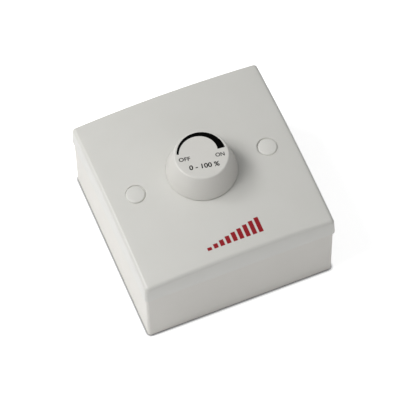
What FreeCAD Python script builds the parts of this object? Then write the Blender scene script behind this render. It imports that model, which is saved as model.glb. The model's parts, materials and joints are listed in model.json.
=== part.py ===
# Rotary LED dimmer on a surface mounting box, one gang.
# Frame: origin at the centre of the box's back face, +Z out of the wall towards the knob,
# +X from the left screw cap to the right one, +Y up the wall. Millimetres and degrees.

import FreeCAD, Part
import Sketcher
import math
import os

doc = FreeCAD.newDocument("LedDimmer")

# Driving dimensions

SIZES = (
    # Surface box
    ("box_width", 85.2),
    ("box_height", 32.0),
    ("box_wall", 2.2),
    ("box_base", 2.5),
    ("box_corner", 1.5),
    ("box_inner_corner", 1.2),
    ("box_foot_bevel", 0.4),
    ("fixing_centres", 60.3),
    ("pillar_radius", 4.9),
    ("pillar_web", 2.4),
    ("cable_entry_radius", 10.0),
    ("wall_hole_spacing", 50.8),
    ("wall_hole_radius", 2.3),
    # Threaded inserts and fixing screws
    ("insert_radius", 2.9),
    ("insert_length", 9.0),
    ("insert_tip_room", 1.0),
    ("screw_radius", 1.75),
    ("screw_length", 16.0),
    ("screw_head_radius", 3.3),
    ("screw_head", 2.2),
    ("screw_slot_width", 0.9),
    ("screw_slot_depth", 1.0),
    # Front plate
    ("plate_width", 86.6),
    ("plate_height", 14.0),
    ("plate_wall", 2.3),
    ("plate_draft", 2.5),
    ("plate_corner", 1.5),
    ("plate_edge_radius", 1.2),
    ("dome_radius", 400.0),
    ("ceiling_thickness", 2.4),
    ("ceiling_room", 1.0),
    ("crown_pocket_width", 35.0),
    ("lip_width", 1.2),
    ("lip_length", 9.0),
    ("lip_offset", 15.0),
    ("lip_drop", 1.6),
    ("boss_radius", 6.4),
    ("head_seat", 6.5),
    ("centre_boss_radius", 10.0),
    ("centre_boss_depth", 5.0),
    ("rib_width", 1.4),
    ("rib_offset", 20.0),
    ("rib_length", 52.0),
    # Screw caps
    ("cap_radius", 4.15),
    ("cap_seat_radius", 4.5),
    ("cap_thickness", 1.5),
    ("cap_proud", 0.3),
    ("cap_stem_radius", 3.8),
    ("cap_stem_length", 1.5),
    # Knob
    ("knob_base_radius", 15.5),
    ("knob_top_radius", 11.65),
    ("knob_height", 11.9),
    ("knob_gap", 0.1),
    ("knob_edge", 0.25),
    ("knob_hollow_steps", 3),
    ("knob_skirt_wall", 1.7),
    ("knob_roof", 1.9),
    ("knob_hub_radius", 5.3),
    ("knob_hub_start", 4.3),
    ("knob_rib_width", 1.1),
    ("knob_rib_count", 6),
    ("knob_rib_drop", 3.6),
    ("knob_spring_width", 3.4),
    ("knob_spring_thickness", 0.45),
    ("knob_spring_length", 5.0),
    # Potentiometer
    ("shaft_radius", 3.0),
    ("shaft_flat", 1.5),
    ("shaft_flat_length", 5.7),
    ("shaft_end_gap", 0.3),
    ("shaft_collar_radius", 4.4),
    ("shaft_collar", 0.8),
    ("shaft_tail_radius", 2.4),
    ("circlip_radius", 4.3),
    ("circlip_groove", 2.4),
    ("circlip_thickness", 0.6),
    ("circlip_gap_width", 3.6),
    ("bushing_radius", 3.95),
    ("bushing_proud", 3.1),
    ("bushing_flange_radius", 8.3),
    ("bushing_flange", 1.2),
    ("locating_tab_width", 2.4),
    ("locating_tab_depth", 1.0),
    ("locating_tab_offset", 6.8),
    ("nut_across_flats", 10.0),
    ("nut_thickness", 2.0),
    ("washer_radius", 6.2),
    ("washer_thickness", 0.5),
    ("case_wall", 0.5),
    ("case_height", 5.6),
    ("track_thickness", 1.2),
    ("track_tail_width", 10.0),
    ("track_tail_length", 11.0),
    ("rotor_radius", 6.2),
    ("rotor_lug_radius", 7.3),
    ("rotor_lug_half_angle", 9.0),
    ("stop_inner_radius", 6.4),
    ("stop_half_angle", 20.0),
    ("stop_play_angle", 1.0),
    ("rotor_thickness", 1.9),
    ("brush_width", 2.4),
    ("brush_thickness", 0.3),
    ("brush_tip_radius", 0.5),
    ("brush_inner", 3.6),
    ("brush_outer", 5.8),
    ("pin_pitch", 3.5),
    ("pin_width", 1.0),
    ("pin_thickness", 0.5),
    ("pin_foot", 1.8),
    ("pin_below_board", 0.6),
    ("pin_hole_width", 1.4),
    ("switch_pin_offset", 5.0),
    # Dimmer module
    ("module_width", 45.0),
    ("module_length", 57.0),
    ("module_corner", 2.0),
    ("sink_thickness", 1.5),
    ("sink_ear_length", 30.0),
    ("sink_ear_drop", 7.0),
    ("tray_wall", 1.6),
    ("tray_floor", 1.4),
    ("tray_rear_level", 14.2),
    ("post_radius", 2.6),
    ("post_inset", 3.8),
    ("module_screw_radius", 1.1),
    ("module_screw_length", 8.0),
    ("module_screw_head_radius", 2.3),
    ("module_screw_head", 0.9),
    ("vent_width", 1.6),
    ("vent_pitch", 3.6),
    ("vent_count", 6),
    ("vent_height", 7.0),
    ("ledge_width", 6.0),
    ("ledge_depth", 1.2),
    ("board_level", 25.5),
    ("board_thickness", 1.6),
    ("board_notch", 6.4),
    # Terminals
    ("way_count", 4),
    ("way_pitch", 7.6),
    ("block_depth", 10.4),
    ("block_side", 1.0),
    ("wire_hole_radius", 1.9),
    ("wire_hole_cover", 1.0),
    ("clamp_width", 5.2),
    ("clamp_depth", 6.0),
    ("clamp_height", 7.0),
    ("clamp_front", 1.6),
    ("terminal_screw_radius", 1.4),
    ("terminal_head_radius", 2.2),
    ("terminal_head", 1.8),
    ("terminal_screw_length", 2.6),
    ("terminal_head_space", 2.4),
    # Parts on the board
    ("transistor_width", 10.0),
    ("transistor_length", 9.2),
    ("transistor_thickness", 4.4),
    ("tab_length", 6.4),
    ("tab_thickness", 1.3),
    ("tab_hole_radius", 1.8),
    ("transistor_offset", 8.0),
    ("transistor_end_gap", 0.7),
    ("lead_pitch", 2.54),
    ("lead_width", 0.8),
    ("lead_thickness", 0.5),
    ("lead_reach", 1.4),
    ("pad_thickness", 0.3),
    ("transistor_screw_radius", 1.4),
    ("transistor_screw_head_radius", 2.6),
    ("transistor_screw_head", 1.8),
    ("capacitor_radius", 4.0),
    ("capacitor_height", 11.5),
    ("film_length", 11.0),
    ("film_width", 5.0),
    ("film_height", 9.5),
    ("film_bevel", 0.4),
    ("choke_radius", 4.6),
    ("choke_height", 9.0),
    ("choke_flange", 1.2),
    ("choke_core_radius", 2.0),
    ("winding_radius", 4.0),
    ("chip_length", 9.4),
    ("chip_width", 6.4),
    ("chip_height", 3.4),
    ("chip_lead_height", 1.6),
    ("fuse_radius", 1.8),
    ("fuse_length", 10.0),
    ("resistor_radius", 1.2),
    ("resistor_length", 6.4),
    ("resistor_pitch", 3.0),
    ("resistor_count", 3),
    # Places on the board
    ("parts_row_offset", 18.0),
    ("capacitor_offset", 12.5),
    ("film_offset", 0.8),
    ("choke_offset", 12.6),
    ("chip_offset", 17.5),
    ("fuse_offset", 15.6),
    ("fuse_leg_reach", 0.8),
    ("resistor_offset", 11.5),
    # Clearances
    ("fit_clearance", 0.1),
    ("running_clearance", 0.05),
    ("thread_clearance", 0.02),
    # Construction
    ("over_cut", 1.0),
    ("small_round_sides", 10),
    ("hidden_round_sides", 24),
)


def fill_sheet():
    """Write every driving dimension into the sheet, one named cell each."""
    sheet = doc.addObject("Spreadsheet::Sheet", "Size")
    for row, (name, number) in enumerate(SIZES, start=1):
        sheet.set("A%d" % row, name)
        sheet.set("B%d" % row, str(number))
        sheet.setAlias("B%d" % row, name)
    doc.recompute()
    return sheet


SHEET = fill_sheet()


def value(name):
    """Read one size back from the sheet."""
    return float(SHEET.get(name))


# Levels above the wall and recurring places, as formulas of the sheet

FACE = "(Size.box_height + Size.plate_height)"
SINK_TOP = "(" + FACE + " - Size.centre_boss_depth)"
SINK_LOW = "(" + SINK_TOP + " - Size.sink_thickness)"
CASE_LOW = "(" + SINK_LOW + " - Size.bushing_flange - Size.case_height)"
BOARD_TOP = "(Size.board_level + Size.board_thickness)"
HALF_CENTRES = "Size.fixing_centres / 2"
CAP_LEVEL = "(" + FACE + " - Size.fixing_centres^2 / (8 * Size.dome_radius) + Size.cap_proud)"
CAP_SEAT = "(" + CAP_LEVEL + " - Size.cap_thickness)"
POST_X = "(Size.module_width / 2 - Size.post_inset)"
POST_Y = "(Size.module_length / 2 - Size.post_inset)"
CEILING_X = "(Size.module_width + 2 * Size.ceiling_room)"
CEILING_Y = "(Size.module_length + 2 * Size.sink_thickness + 2 * Size.ceiling_room)"
PARTS_Y = "-Size.parts_row_offset"
CAPACITOR_X = "-Size.capacitor_offset"
FILM_X = "Size.film_offset"
CHOKE_X = "Size.choke_offset"
CHIP_Y = "Size.chip_offset"
FUSE_X = "-Size.fuse_offset"
FUSE_LEG = "(Size.fuse_length / 2 + Size.fuse_leg_reach)"
RESISTOR_X = "Size.resistor_offset"
CORNER_SIGNS = ((1, 1), (-1, 1), (-1, -1), (1, -1))


# Helpers for sketches

def new_body(name, level="0 mm", x="0 mm", y="0 mm"):
    """Start a sub-part with its own name and place."""
    body = doc.addObject("PartDesign::Body", name)
    body.Label = name
    body.AllowCompound = True
    body.setExpression(".Placement.Base.x", x)
    body.setExpression(".Placement.Base.y", y)
    body.setExpression(".Placement.Base.z", level)
    return body


def origin_item(body, role):
    """Find one of the body's own origin planes or axes."""
    for item in body.Origin.OriginFeatures:
        if item.Role == role:
            return item
    raise ValueError(role)


def sketch(body, name, role="XY_Plane", lift=None):
    """Attach an empty sketch to one of the body's origin planes."""
    drawing = body.newObject("Sketcher::SketchObject", name)
    drawing.AttachmentSupport = [(origin_item(body, role), "")]
    drawing.MapMode = "FlatFace"
    if lift is not None:
        drawing.setExpression(".AttachmentOffset.Base.z", lift)
    return drawing


def hold(drawing, kind, geo, pos, formula):
    """Hold one coordinate of a point at a formula of the sheet."""
    if formula == "0":
        axis = -2 if kind == "DistanceX" else -1
        drawing.addConstraint(Sketcher.Constraint("PointOnObject", geo, pos, axis))
        return
    point = drawing.getPoint(geo, pos)
    guess = point.x if kind == "DistanceX" else point.y
    bind(drawing, Sketcher.Constraint(kind, geo, pos, guess), formula)


def bind(drawing, constraint, formula):
    """Add a dimension and tie it to a formula of the sheet."""
    index = drawing.addConstraint(constraint)
    name = "size%d" % index
    drawing.renameConstraint(index, name)
    drawing.setExpression("Constraints." + name, formula)


def outline(drawing, points):
    """Draw a closed outline of straight lines through points given as formulas."""
    first = drawing.GeometryCount
    count = len(points)
    turns = [2 * math.pi * (i + 0.3) / count for i in range(count)]
    guess = [FreeCAD.Vector(10 * math.cos(t), 10 * math.sin(t), 0) for t in turns]
    for i in range(count):
        drawing.addGeometry(Part.LineSegment(guess[i], guess[(i + 1) % count]), False)
    for i in range(count):
        following = first + (i + 1) % count
        drawing.addConstraint(Sketcher.Constraint("Coincident", first + i, 2, following, 1))
    for i, (x, y) in enumerate(points):
        hold(drawing, "DistanceX", first + i, 1, x)
        hold(drawing, "DistanceY", first + i, 1, y)


def rectangle(drawing, x0, y0, x1, y1):
    """Draw a rectangle from two opposite corners."""
    outline(drawing, [(x0, y0), (x1, y0), (x1, y1), (x0, y1)])


def centred(drawing, width, depth, x="0", y="0"):
    """Draw a rectangle about a centre."""
    low_x = "%s - (%s) / 2" % (x, width)
    high_x = "%s + (%s) / 2" % (x, width)
    low_y = "%s - (%s) / 2" % (y, depth)
    high_y = "%s + (%s) / 2" % (y, depth)
    rectangle(drawing, low_x, low_y, high_x, high_y)


def circle(drawing, radius, x="0", y="0"):
    """Draw a circle about a centre."""
    geo = drawing.addGeometry(Part.Circle(FreeCAD.Vector(3, 2, 0), FreeCAD.Vector(0, 0, 1), 1), False)
    bind(drawing, Sketcher.Constraint("Radius", geo, 1.0), radius)
    hold(drawing, "DistanceX", geo, 3, x)
    hold(drawing, "DistanceY", geo, 3, y)


def radial(radius, angle):
    """Give the two coordinates of a point at a radius and an angle."""
    return ("(%s) * cos(%s)" % (radius, angle), "(%s) * sin(%s)" % (radius, angle))


def many_sided(drawing, radius, x="0", y="0", sides="small_round_sides"):
    """Draw a small or hidden round as a regular outline, light enough to repeat."""
    count = int(value(sides))
    corners = [radial(radius, 360.0 * (i + 0.5) / count) for i in range(count)]
    outline(drawing, [("%s + %s" % (x, a), "%s + %s" % (y, b)) for a, b in corners])


def hidden_round(drawing, radius):
    """Draw a round inside the dimmer as a regular outline about the body's axis."""
    many_sided(drawing, radius, sides="hidden_round_sides")


def clearing(radius):
    """Give the corner radius of a hidden round hole whose flats touch a radius."""
    return "(%s) / cos(180 / Size.hidden_round_sides)" % radius


def half_moon(drawing, radius, flat):
    """Draw a round with one flat on its +Y side, the section of a D shaft."""
    size = value("shaft_radius")
    level = value("shaft_flat")
    reach = math.sqrt(size * size - level * level)
    turn = math.atan2(level, reach)
    ring = Part.Circle(FreeCAD.Vector(0, 0, 0), FreeCAD.Vector(0, 0, 1), size)
    arc = drawing.addGeometry(Part.ArcOfCircle(ring, math.pi - turn, 2 * math.pi + turn), False)
    ends = (FreeCAD.Vector(reach, level, 0), FreeCAD.Vector(-reach, level, 0))
    line = drawing.addGeometry(Part.LineSegment(*ends), False)
    drawing.addConstraint(Sketcher.Constraint("Coincident", arc, 3, -1, 1))
    drawing.addConstraint(Sketcher.Constraint("Coincident", arc, 2, line, 1))
    drawing.addConstraint(Sketcher.Constraint("Coincident", line, 2, arc, 1))
    drawing.addConstraint(Sketcher.Constraint("Horizontal", line))
    bind(drawing, Sketcher.Constraint("Radius", arc, size), radius)
    bind(drawing, Sketcher.Constraint("DistanceY", line, 1, level), flat)


# Helpers for features

def pad(body, drawing, name, length, down=False):
    """Raise a sketch into a solid."""
    feature = body.newObject("PartDesign::Pad", name)
    feature.Profile = drawing
    feature.setExpression("Length", length)
    feature.Reversed = down
    body.Tip = feature
    return feature


def pocket(body, drawing, name, depth, up=False):
    """Cut a sketch into a solid, downwards unless told otherwise."""
    feature = body.newObject("PartDesign::Pocket", name)
    feature.Profile = drawing
    feature.setExpression("Length", depth)
    feature.Reversed = up
    body.Tip = feature
    return feature


def turn(body, drawing, name):
    """Turn a sketch once round its vertical axis."""
    feature = body.newObject("PartDesign::Revolution", name)
    feature.Profile = drawing
    feature.ReferenceAxis = (drawing, ["V_Axis"])
    feature.Angle = 360.0
    body.Tip = feature
    return feature


def turned_cut(body, drawing, name, angle):
    """Cut with a sketch swung to both sides about its own construction line."""
    feature = body.newObject("PartDesign::Groove", name)
    feature.Profile = drawing
    feature.ReferenceAxis = (drawing, ["Axis0"])
    feature.Midplane = True
    feature.setExpression("Angle", angle)
    body.Tip = feature
    return feature


def polar(body, features, name, count):
    """Repeat features about the body's Z axis."""
    feature = body.newObject("PartDesign::PolarPattern", name)
    feature.Originals = features
    feature.Axis = (origin_item(body, "Z_Axis"), [""])
    feature.Angle = 360.0
    feature.setExpression("Occurrences", count)
    body.Tip = feature
    return feature


def edges_where(body, test):
    """Name the edges of the body's latest shape that pass a test."""
    doc.recompute()
    names = []
    for number, edge in enumerate(body.Tip.Shape.Edges, start=1):
        if edge.Length > 1e-6 and test(edge):
            names.append("Edge%d" % number)
    return names


def fillet(body, name, radius, test):
    """Round the edges that pass a test."""
    names = edges_where(body, test)
    base = body.Tip
    feature = body.newObject("PartDesign::Fillet", name)
    feature.Base = (base, names)
    feature.setExpression("Radius", radius)
    body.Tip = feature
    return feature


def chamfer(body, name, size, test):
    """Bevel the edges that pass a test."""
    names = edges_where(body, test)
    base = body.Tip
    feature = body.newObject("PartDesign::Chamfer", name)
    feature.Base = (base, names)
    feature.setExpression("Size", size)
    body.Tip = feature
    return feature


def draft(body, name, angle, test, inner=False):
    """Lean upright faces towards the middle as they rise from the body's base plane."""
    doc.recompute()
    base = body.Tip
    names = ["Face%d" % number for number, face in enumerate(base.Shape.Faces, start=1) if test(face)]
    feature = body.newObject("PartDesign::Draft", name)
    feature.Base = (base, names)
    feature.NeutralPlane = (origin_item(body, "XY_Plane"), [""])
    feature.setExpression("Angle", angle)
    feature.Reversed = inner
    body.Tip = feature
    return feature


def is_wall(face, reach):
    """Tell an upright flat face whose middle lies nearer to the axis than a reach."""
    middle = face.CenterOfMass
    flat = face.Surface.TypeId == "Part::GeomPlane"
    return flat and abs(face.normalAt(0, 0).z) < 1e-6 and math.hypot(middle.x, middle.y) < reach


def is_upright(edge):
    """Tell an edge that rises along Z, also where a draft leans it."""
    box = edge.BoundBox
    return box.ZLength > 0.9 * edge.Length


def is_level(edge, height):
    """Tell an edge that lies flat at one height."""
    box = edge.BoundBox
    return abs(box.ZMin - height) < 1e-4 and abs(box.ZMax - height) < 1e-4


# Surface box, its inserts and the screws that hold the plate

def make_surface_box():
    """Mould the open box: walls, base, two screw pillars, cable entry and wall holes."""
    body = new_body("surface_box")
    block = sketch(body, "BoxOutline")
    centred(block, "Size.box_width", "Size.box_width")
    pad(body, block, "BoxBlock", "Size.box_height")
    fillet(body, "BoxCorners", "Size.box_corner", is_upright)
    chamfer(body, "BoxFoot", "Size.box_foot_bevel", lambda edge: is_level(edge, 0.0))
    inner = "(Size.box_width - 2 * Size.box_wall)"
    hollow = sketch(body, "BoxHollow", lift="Size.box_base")
    centred(hollow, inner, inner)
    pocket(body, hollow, "BoxCavity", "Size.box_height - Size.box_base", up=True)
    inside = value("box_width") / 2 - value("box_wall") + 0.01
    fillet(body, "BoxInnerCorners", "Size.box_inner_corner",
           lambda edge: is_upright(edge) and abs(edge.CenterOfMass.x) < inside)
    pillars = sketch(body, "PillarOutline", lift="Size.box_base / 2")
    for sign in ("", "-"):
        circle(pillars, "Size.pillar_radius", sign + HALF_CENTRES)
    pad(body, pillars, "Pillars", "Size.box_height - Size.box_base / 2")
    webs = sketch(body, "WebOutline", lift="Size.box_base / 2")
    for sign in ("", "-"):
        rectangle(webs, sign + HALF_CENTRES, "-Size.pillar_web / 2",
                  sign + "(Size.box_width - Size.box_wall) / 2", "Size.pillar_web / 2")
    pad(body, webs, "Webs", "Size.box_height - Size.box_base / 2")
    seats = sketch(body, "InsertSeatOutline", lift="Size.box_height")
    for sign in ("", "-"):
        many_sided(seats, "Size.insert_radius", sign + HALF_CENTRES)
    pocket(body, seats, "InsertSeats", "Size.screw_length - Size.head_seat + Size.insert_tip_room")
    entry = sketch(body, "CableEntryOutline", lift="Size.box_base")
    circle(entry, "Size.cable_entry_radius")
    pocket(body, entry, "CableEntry", "Size.box_base")
    wall_holes = sketch(body, "WallHoleOutline", lift="Size.box_base")
    for sign in ("", "-"):
        circle(wall_holes, "Size.wall_hole_radius", "0", sign + "Size.wall_hole_spacing / 2")
    pocket(body, wall_holes, "WallHoles", "Size.box_base")
    return body


def make_insert(name, sign):
    """Cut one brass insert that takes a fixing screw."""
    body = new_body(name, "Size.box_height - Size.insert_length", sign + HALF_CENTRES)
    ring = sketch(body, name + "_outline")
    many_sided(ring, "Size.insert_radius")
    many_sided(ring, "Size.screw_radius")
    pad(body, ring, name + "_tube", "Size.insert_length")
    return body


def make_fixing_screw(name, sign):
    """Form one slotted cheese-head screw, seated in the plate."""
    body = new_body(name, "Size.box_height + Size.head_seat", sign + HALF_CENTRES)
    head = sketch(body, name + "_head_outline")
    hidden_round(head, "Size.screw_head_radius")
    pad(body, head, name + "_head", "Size.screw_head")
    slot = sketch(body, name + "_slot_outline", lift="Size.screw_head")
    centred(slot, "2 * Size.screw_head_radius + Size.over_cut", "Size.screw_slot_width")
    pocket(body, slot, name + "_slot", "Size.screw_slot_depth")
    shank = sketch(body, name + "_shank_outline")
    many_sided(shank, "(Size.screw_radius - Size.thread_clearance)")
    pad(body, shank, name + "_shank", "Size.screw_length", down=True)
    return body


# Front plate and screw caps

def make_front_plate():
    """Mould the crowned plate: drafted sides, hollow back, ribs, lips and three bosses."""
    body = new_body("front_plate", "Size.box_height")
    width = value("plate_width")
    block = sketch(body, "PlateOutline")
    centred(block, "Size.plate_width", "Size.plate_width")
    pad(body, block, "PlateBlock", "Size.plate_height + Size.over_cut")
    draft(body, "PlateSides", "Size.plate_draft", lambda face: is_wall(face, width))
    fillet(body, "PlateCorners", "Size.plate_corner", is_upright)
    crown_front(body)
    bevel_front_edges(body)
    hole = sketch(body, "BushingHoleOutline")
    circle(hole, "Size.bushing_radius + Size.fit_clearance")
    pocket(body, hole, "BushingHole", "Size.plate_height + Size.over_cut", up=True)
    hollow_plate(body)
    add_plate_bosses(body)
    add_plate_lips(body)
    return body


def crown_front(body):
    """Cut the front to a shallow sphere, swung about a level line through its centre."""
    size = value("dome_radius")
    top = value("plate_height")
    far = value("plate_width")
    drop = size - math.sqrt(size * size - far * far)
    centre = FreeCAD.Vector(0, top - size, 0)
    ends = [FreeCAD.Vector(side * far, top - drop, 0) for side in (1, -1)]
    tops = [FreeCAD.Vector(side * far, top + far, 0) for side in (1, -1)]
    profile = sketch(body, "CrownProfile", "XZ_Plane")
    axis = profile.addGeometry(Part.LineSegment(centre, centre + FreeCAD.Vector(far, 0, 0)), True)
    ring = Part.Circle(centre, FreeCAD.Vector(0, 0, 1), size)
    start = math.atan2(size - drop, far)
    arc = profile.addGeometry(Part.ArcOfCircle(ring, start, math.pi - start), False)
    corners = [ends[1], tops[1], tops[0], ends[0]]
    lines = [profile.addGeometry(Part.LineSegment(corners[i], corners[i + 1]), False) for i in range(3)]
    for one, other in ((arc, lines[0]), (lines[0], lines[1]), (lines[1], lines[2]), (lines[2], arc)):
        profile.addConstraint(Sketcher.Constraint("Coincident", one, 2, other, 1))
    profile.addConstraint(Sketcher.Constraint("Horizontal", axis))
    profile.addConstraint(Sketcher.Constraint("Coincident", axis, 1, arc, 3))
    hold(profile, "DistanceX", axis, 2, "Size.plate_width")
    hold(profile, "DistanceX", arc, 3, "0")
    hold(profile, "DistanceY", arc, 3, "Size.plate_height - Size.dome_radius")
    bind(profile, Sketcher.Constraint("Radius", arc, size), "Size.dome_radius")
    hold(profile, "DistanceX", arc, 1, "Size.plate_width")
    hold(profile, "DistanceX", arc, 2, "-Size.plate_width")
    profile.addConstraint(Sketcher.Constraint("Vertical", lines[0]))
    profile.addConstraint(Sketcher.Constraint("Horizontal", lines[1]))
    profile.addConstraint(Sketcher.Constraint("Vertical", lines[2]))
    hold(profile, "DistanceY", lines[1], 1, "Size.plate_height + Size.plate_width")
    turned_cut(body, profile, "Crown", "2 * asin(Size.plate_width / Size.dome_radius)")


def bevel_front_edges(body):
    """Bevel the edge round the front so that the bevel touches its rounding."""
    half = value("plate_height") / 2
    chamfer(body, "FrontBevel", "Size.plate_edge_radius * (2 - sqrt(2))",
            lambda edge: not is_upright(edge) and edge.BoundBox.ZMin > half)


def hollow_plate(body):
    """Cut the hollow back: a drafted well, room for the module and a pocket under the crown."""
    inner = "(Size.plate_width - 2 * Size.plate_wall)"
    for name, width, length in (
            ("Well", inner, inner),
            ("Ceiling", CEILING_X, CEILING_Y),
            ("CrownPocket", "Size.crown_pocket_width", "Size.crown_pocket_width")):
        step = sketch(body, name + "Outline")
        centred(step, width, length)
        drop = "(%s^2 + %s^2) / (8 * Size.dome_radius)" % (width, length)
        pocket(body, step, name, "Size.plate_height - Size.ceiling_thickness - " + drop, up=True)
        if name == "Well":
            inside = value("plate_width") / 2 - value("plate_wall") / 2
            draft(body, "WellSides", "Size.plate_draft", lambda face: is_wall(face, inside), inner=True)


def add_plate_bosses(body):
    """Add the screw bosses with their stepped bores, the centre boss and the ribs."""
    top = "(Size.plate_height - Size.ceiling_thickness / 2 - Size.fixing_centres^2 / (8 * Size.dome_radius))"
    bosses = sketch(body, "BossOutline")
    for sign in ("", "-"):
        circle(bosses, "Size.boss_radius", sign + HALF_CENTRES)
    pad(body, bosses, "Bosses", top)
    boss_level = "Size.plate_height - Size.centre_boss_depth"
    middle = sketch(body, "CentreBossOutline", lift=boss_level)
    circle(middle, "Size.centre_boss_radius")
    circle(middle, "Size.bushing_radius + Size.fit_clearance")
    pad(body, middle, "CentreBoss", "Size.centre_boss_depth - Size.ceiling_thickness / 2")
    ribs = sketch(body, "RibOutline", lift=boss_level)
    for sign in ("", "-"):
        centred(ribs, "Size.rib_length", "Size.rib_width", "0", sign + "Size.rib_offset")
    rib_rise = ("Size.centre_boss_depth - Size.ceiling_thickness / 2"
                " - ((Size.rib_length / 2)^2 + Size.rib_offset^2) / (2 * Size.dome_radius)")
    pad(body, ribs, "Ribs", rib_rise)
    for name, radius, start, depth in (
            ("ScrewHole", "Size.screw_radius + 4 * Size.fit_clearance", "0 mm", "Size.plate_height"),
            ("HeadBore", "Size.cap_stem_radius + Size.fit_clearance", "Size.head_seat", "Size.plate_height"),
            ("CapSeat", "Size.cap_seat_radius", CAP_SEAT + " - Size.box_height", "Size.plate_height")):
        holes = sketch(body, name + "Outline", lift=start)
        for sign in ("", "-"):
            circle(holes, radius, sign + HALF_CENTRES)
        pocket(body, holes, name, depth, up=True)


def add_plate_lips(body):
    """Add the eight lips that drop inside the box's walls and centre the plate."""
    outer = "(Size.box_width / 2 - Size.box_wall - Size.fit_clearance)"
    inner = "(" + outer + " - Size.lip_width)"
    wall = "(Size.plate_width / 2 - Size.plate_wall / 2 - Size.box_wall / 2)"
    lips = sketch(body, "LipOutline", lift="-Size.lip_drop")
    roots = sketch(body, "LipRootOutline")
    for drawing, reach in ((lips, outer), (roots, wall)):
        for sx, sy in CORNER_SIGNS:
            near = "%d * (Size.lip_offset - Size.lip_length / 2)" % sy
            far = "%d * (Size.lip_offset + Size.lip_length / 2)" % sy
            rectangle(drawing, "%d * %s" % (sx, reach), near, "%d * %s" % (sx, inner), far)
            rectangle(drawing, near, "%d * %s" % (sx, reach), far, "%d * %s" % (sx, inner))
    pad(body, lips, "Lips", "2 * Size.lip_drop")
    pad(body, roots, "LipRoots", "2 * Size.lip_drop")


def make_screw_cap(name, sign):
    """Mould one snap-in cap: a disc over a short stem."""
    body = new_body(name, CAP_SEAT, sign + HALF_CENTRES)
    disc = sketch(body, name + "_disc_outline")
    circle(disc, "Size.cap_radius")
    pad(body, disc, name + "_disc", "Size.cap_thickness")
    stem = sketch(body, name + "_stem_outline")
    many_sided(stem, "Size.cap_stem_radius")
    pad(body, stem, name + "_stem", "Size.cap_stem_length", down=True)
    return body


# Knob and what turns with it

def make_knob():
    """Mould the tapered knob: hollow skirt, ribs and a hub with a D bore and a spring slot."""
    body = new_body("knob", FACE + " + Size.knob_gap")
    ceiling = "(Size.knob_height - Size.knob_roof)"
    slope = "((Size.knob_base_radius - Size.knob_top_radius) / Size.knob_height)"
    skirt = sketch(body, "KnobProfile", "XZ_Plane")
    outline(skirt, [
        ("0", "0"),
        ("Size.knob_base_radius", "0"),
        ("Size.knob_top_radius + Size.knob_edge * " + slope, "Size.knob_height - Size.knob_edge"),
        ("Size.knob_top_radius - Size.knob_edge", "Size.knob_height"),
        ("0", "Size.knob_height"),
    ])
    turn(body, skirt, "KnobBlank")
    for step in range(1, int(value("knob_hollow_steps")) + 1):
        name = "KnobHollow%d" % step
        rise = "(%s * %d / Size.knob_hollow_steps)" % (ceiling, step)
        hollow = sketch(body, name + "Outline")
        hidden_round(hollow, "(Size.knob_base_radius - Size.knob_skirt_wall - %s * %s)" % (rise, slope))
        pocket(body, hollow, name, rise, up=True)
    rib = sketch(body, "KnobRibOutline", lift=ceiling + " - Size.knob_rib_drop")
    rectangle(rib, "Size.knob_hub_radius / 2", "-Size.knob_rib_width / 2",
              "Size.knob_top_radius + Size.knob_roof * " + slope + " / 4", "Size.knob_rib_width / 2")
    ribs = pad(body, rib, "KnobRib", "Size.knob_rib_drop + Size.knob_roof / 2")
    polar(body, [ribs], "KnobRibs", "Size.knob_rib_count")
    hub = sketch(body, "KnobHubOutline", lift="Size.knob_hub_start")
    hidden_round(hub, "Size.knob_hub_radius")
    pad(body, hub, "KnobHub", "Size.knob_height - Size.knob_roof / 2 - Size.knob_hub_start")
    bore = sketch(body, "KnobBoreOutline", lift="Size.knob_hub_start")
    half_moon(bore, "Size.shaft_radius + Size.thread_clearance", "Size.shaft_flat + Size.thread_clearance")
    pocket(body, bore, "KnobBore", ceiling + " - Size.knob_hub_start", up=True)
    slot = sketch(body, "KnobSlotOutline", lift="Size.knob_hub_start")
    centred(slot, "Size.knob_spring_width + 2 * Size.fit_clearance",
            "Size.knob_spring_thickness + 2 * Size.thread_clearance", "0",
            "(Size.shaft_flat + 2 * Size.thread_clearance + Size.knob_spring_thickness / 2)")
    pocket(body, slot, "KnobSlot", "Size.knob_spring_length + Size.fit_clearance", up=True)
    return body


def make_knob_spring():
    """Press the flat leaf that grips the shaft's flat inside the hub."""
    body = new_body("knob_spring", FACE + " + Size.knob_gap + Size.knob_hub_start")
    leaf = sketch(body, "LeafOutline")
    centred(leaf, "Size.knob_spring_width", "Size.knob_spring_thickness", "0",
            "(Size.shaft_flat + 2 * Size.thread_clearance + Size.knob_spring_thickness / 2)")
    pad(body, leaf, "Leaf", "Size.knob_spring_length")
    return body


BUSHING_LOW = "(" + SINK_LOW + " - Size.bushing_flange)"
BUSHING_TOP = "(" + FACE + " + Size.bushing_proud)"


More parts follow.
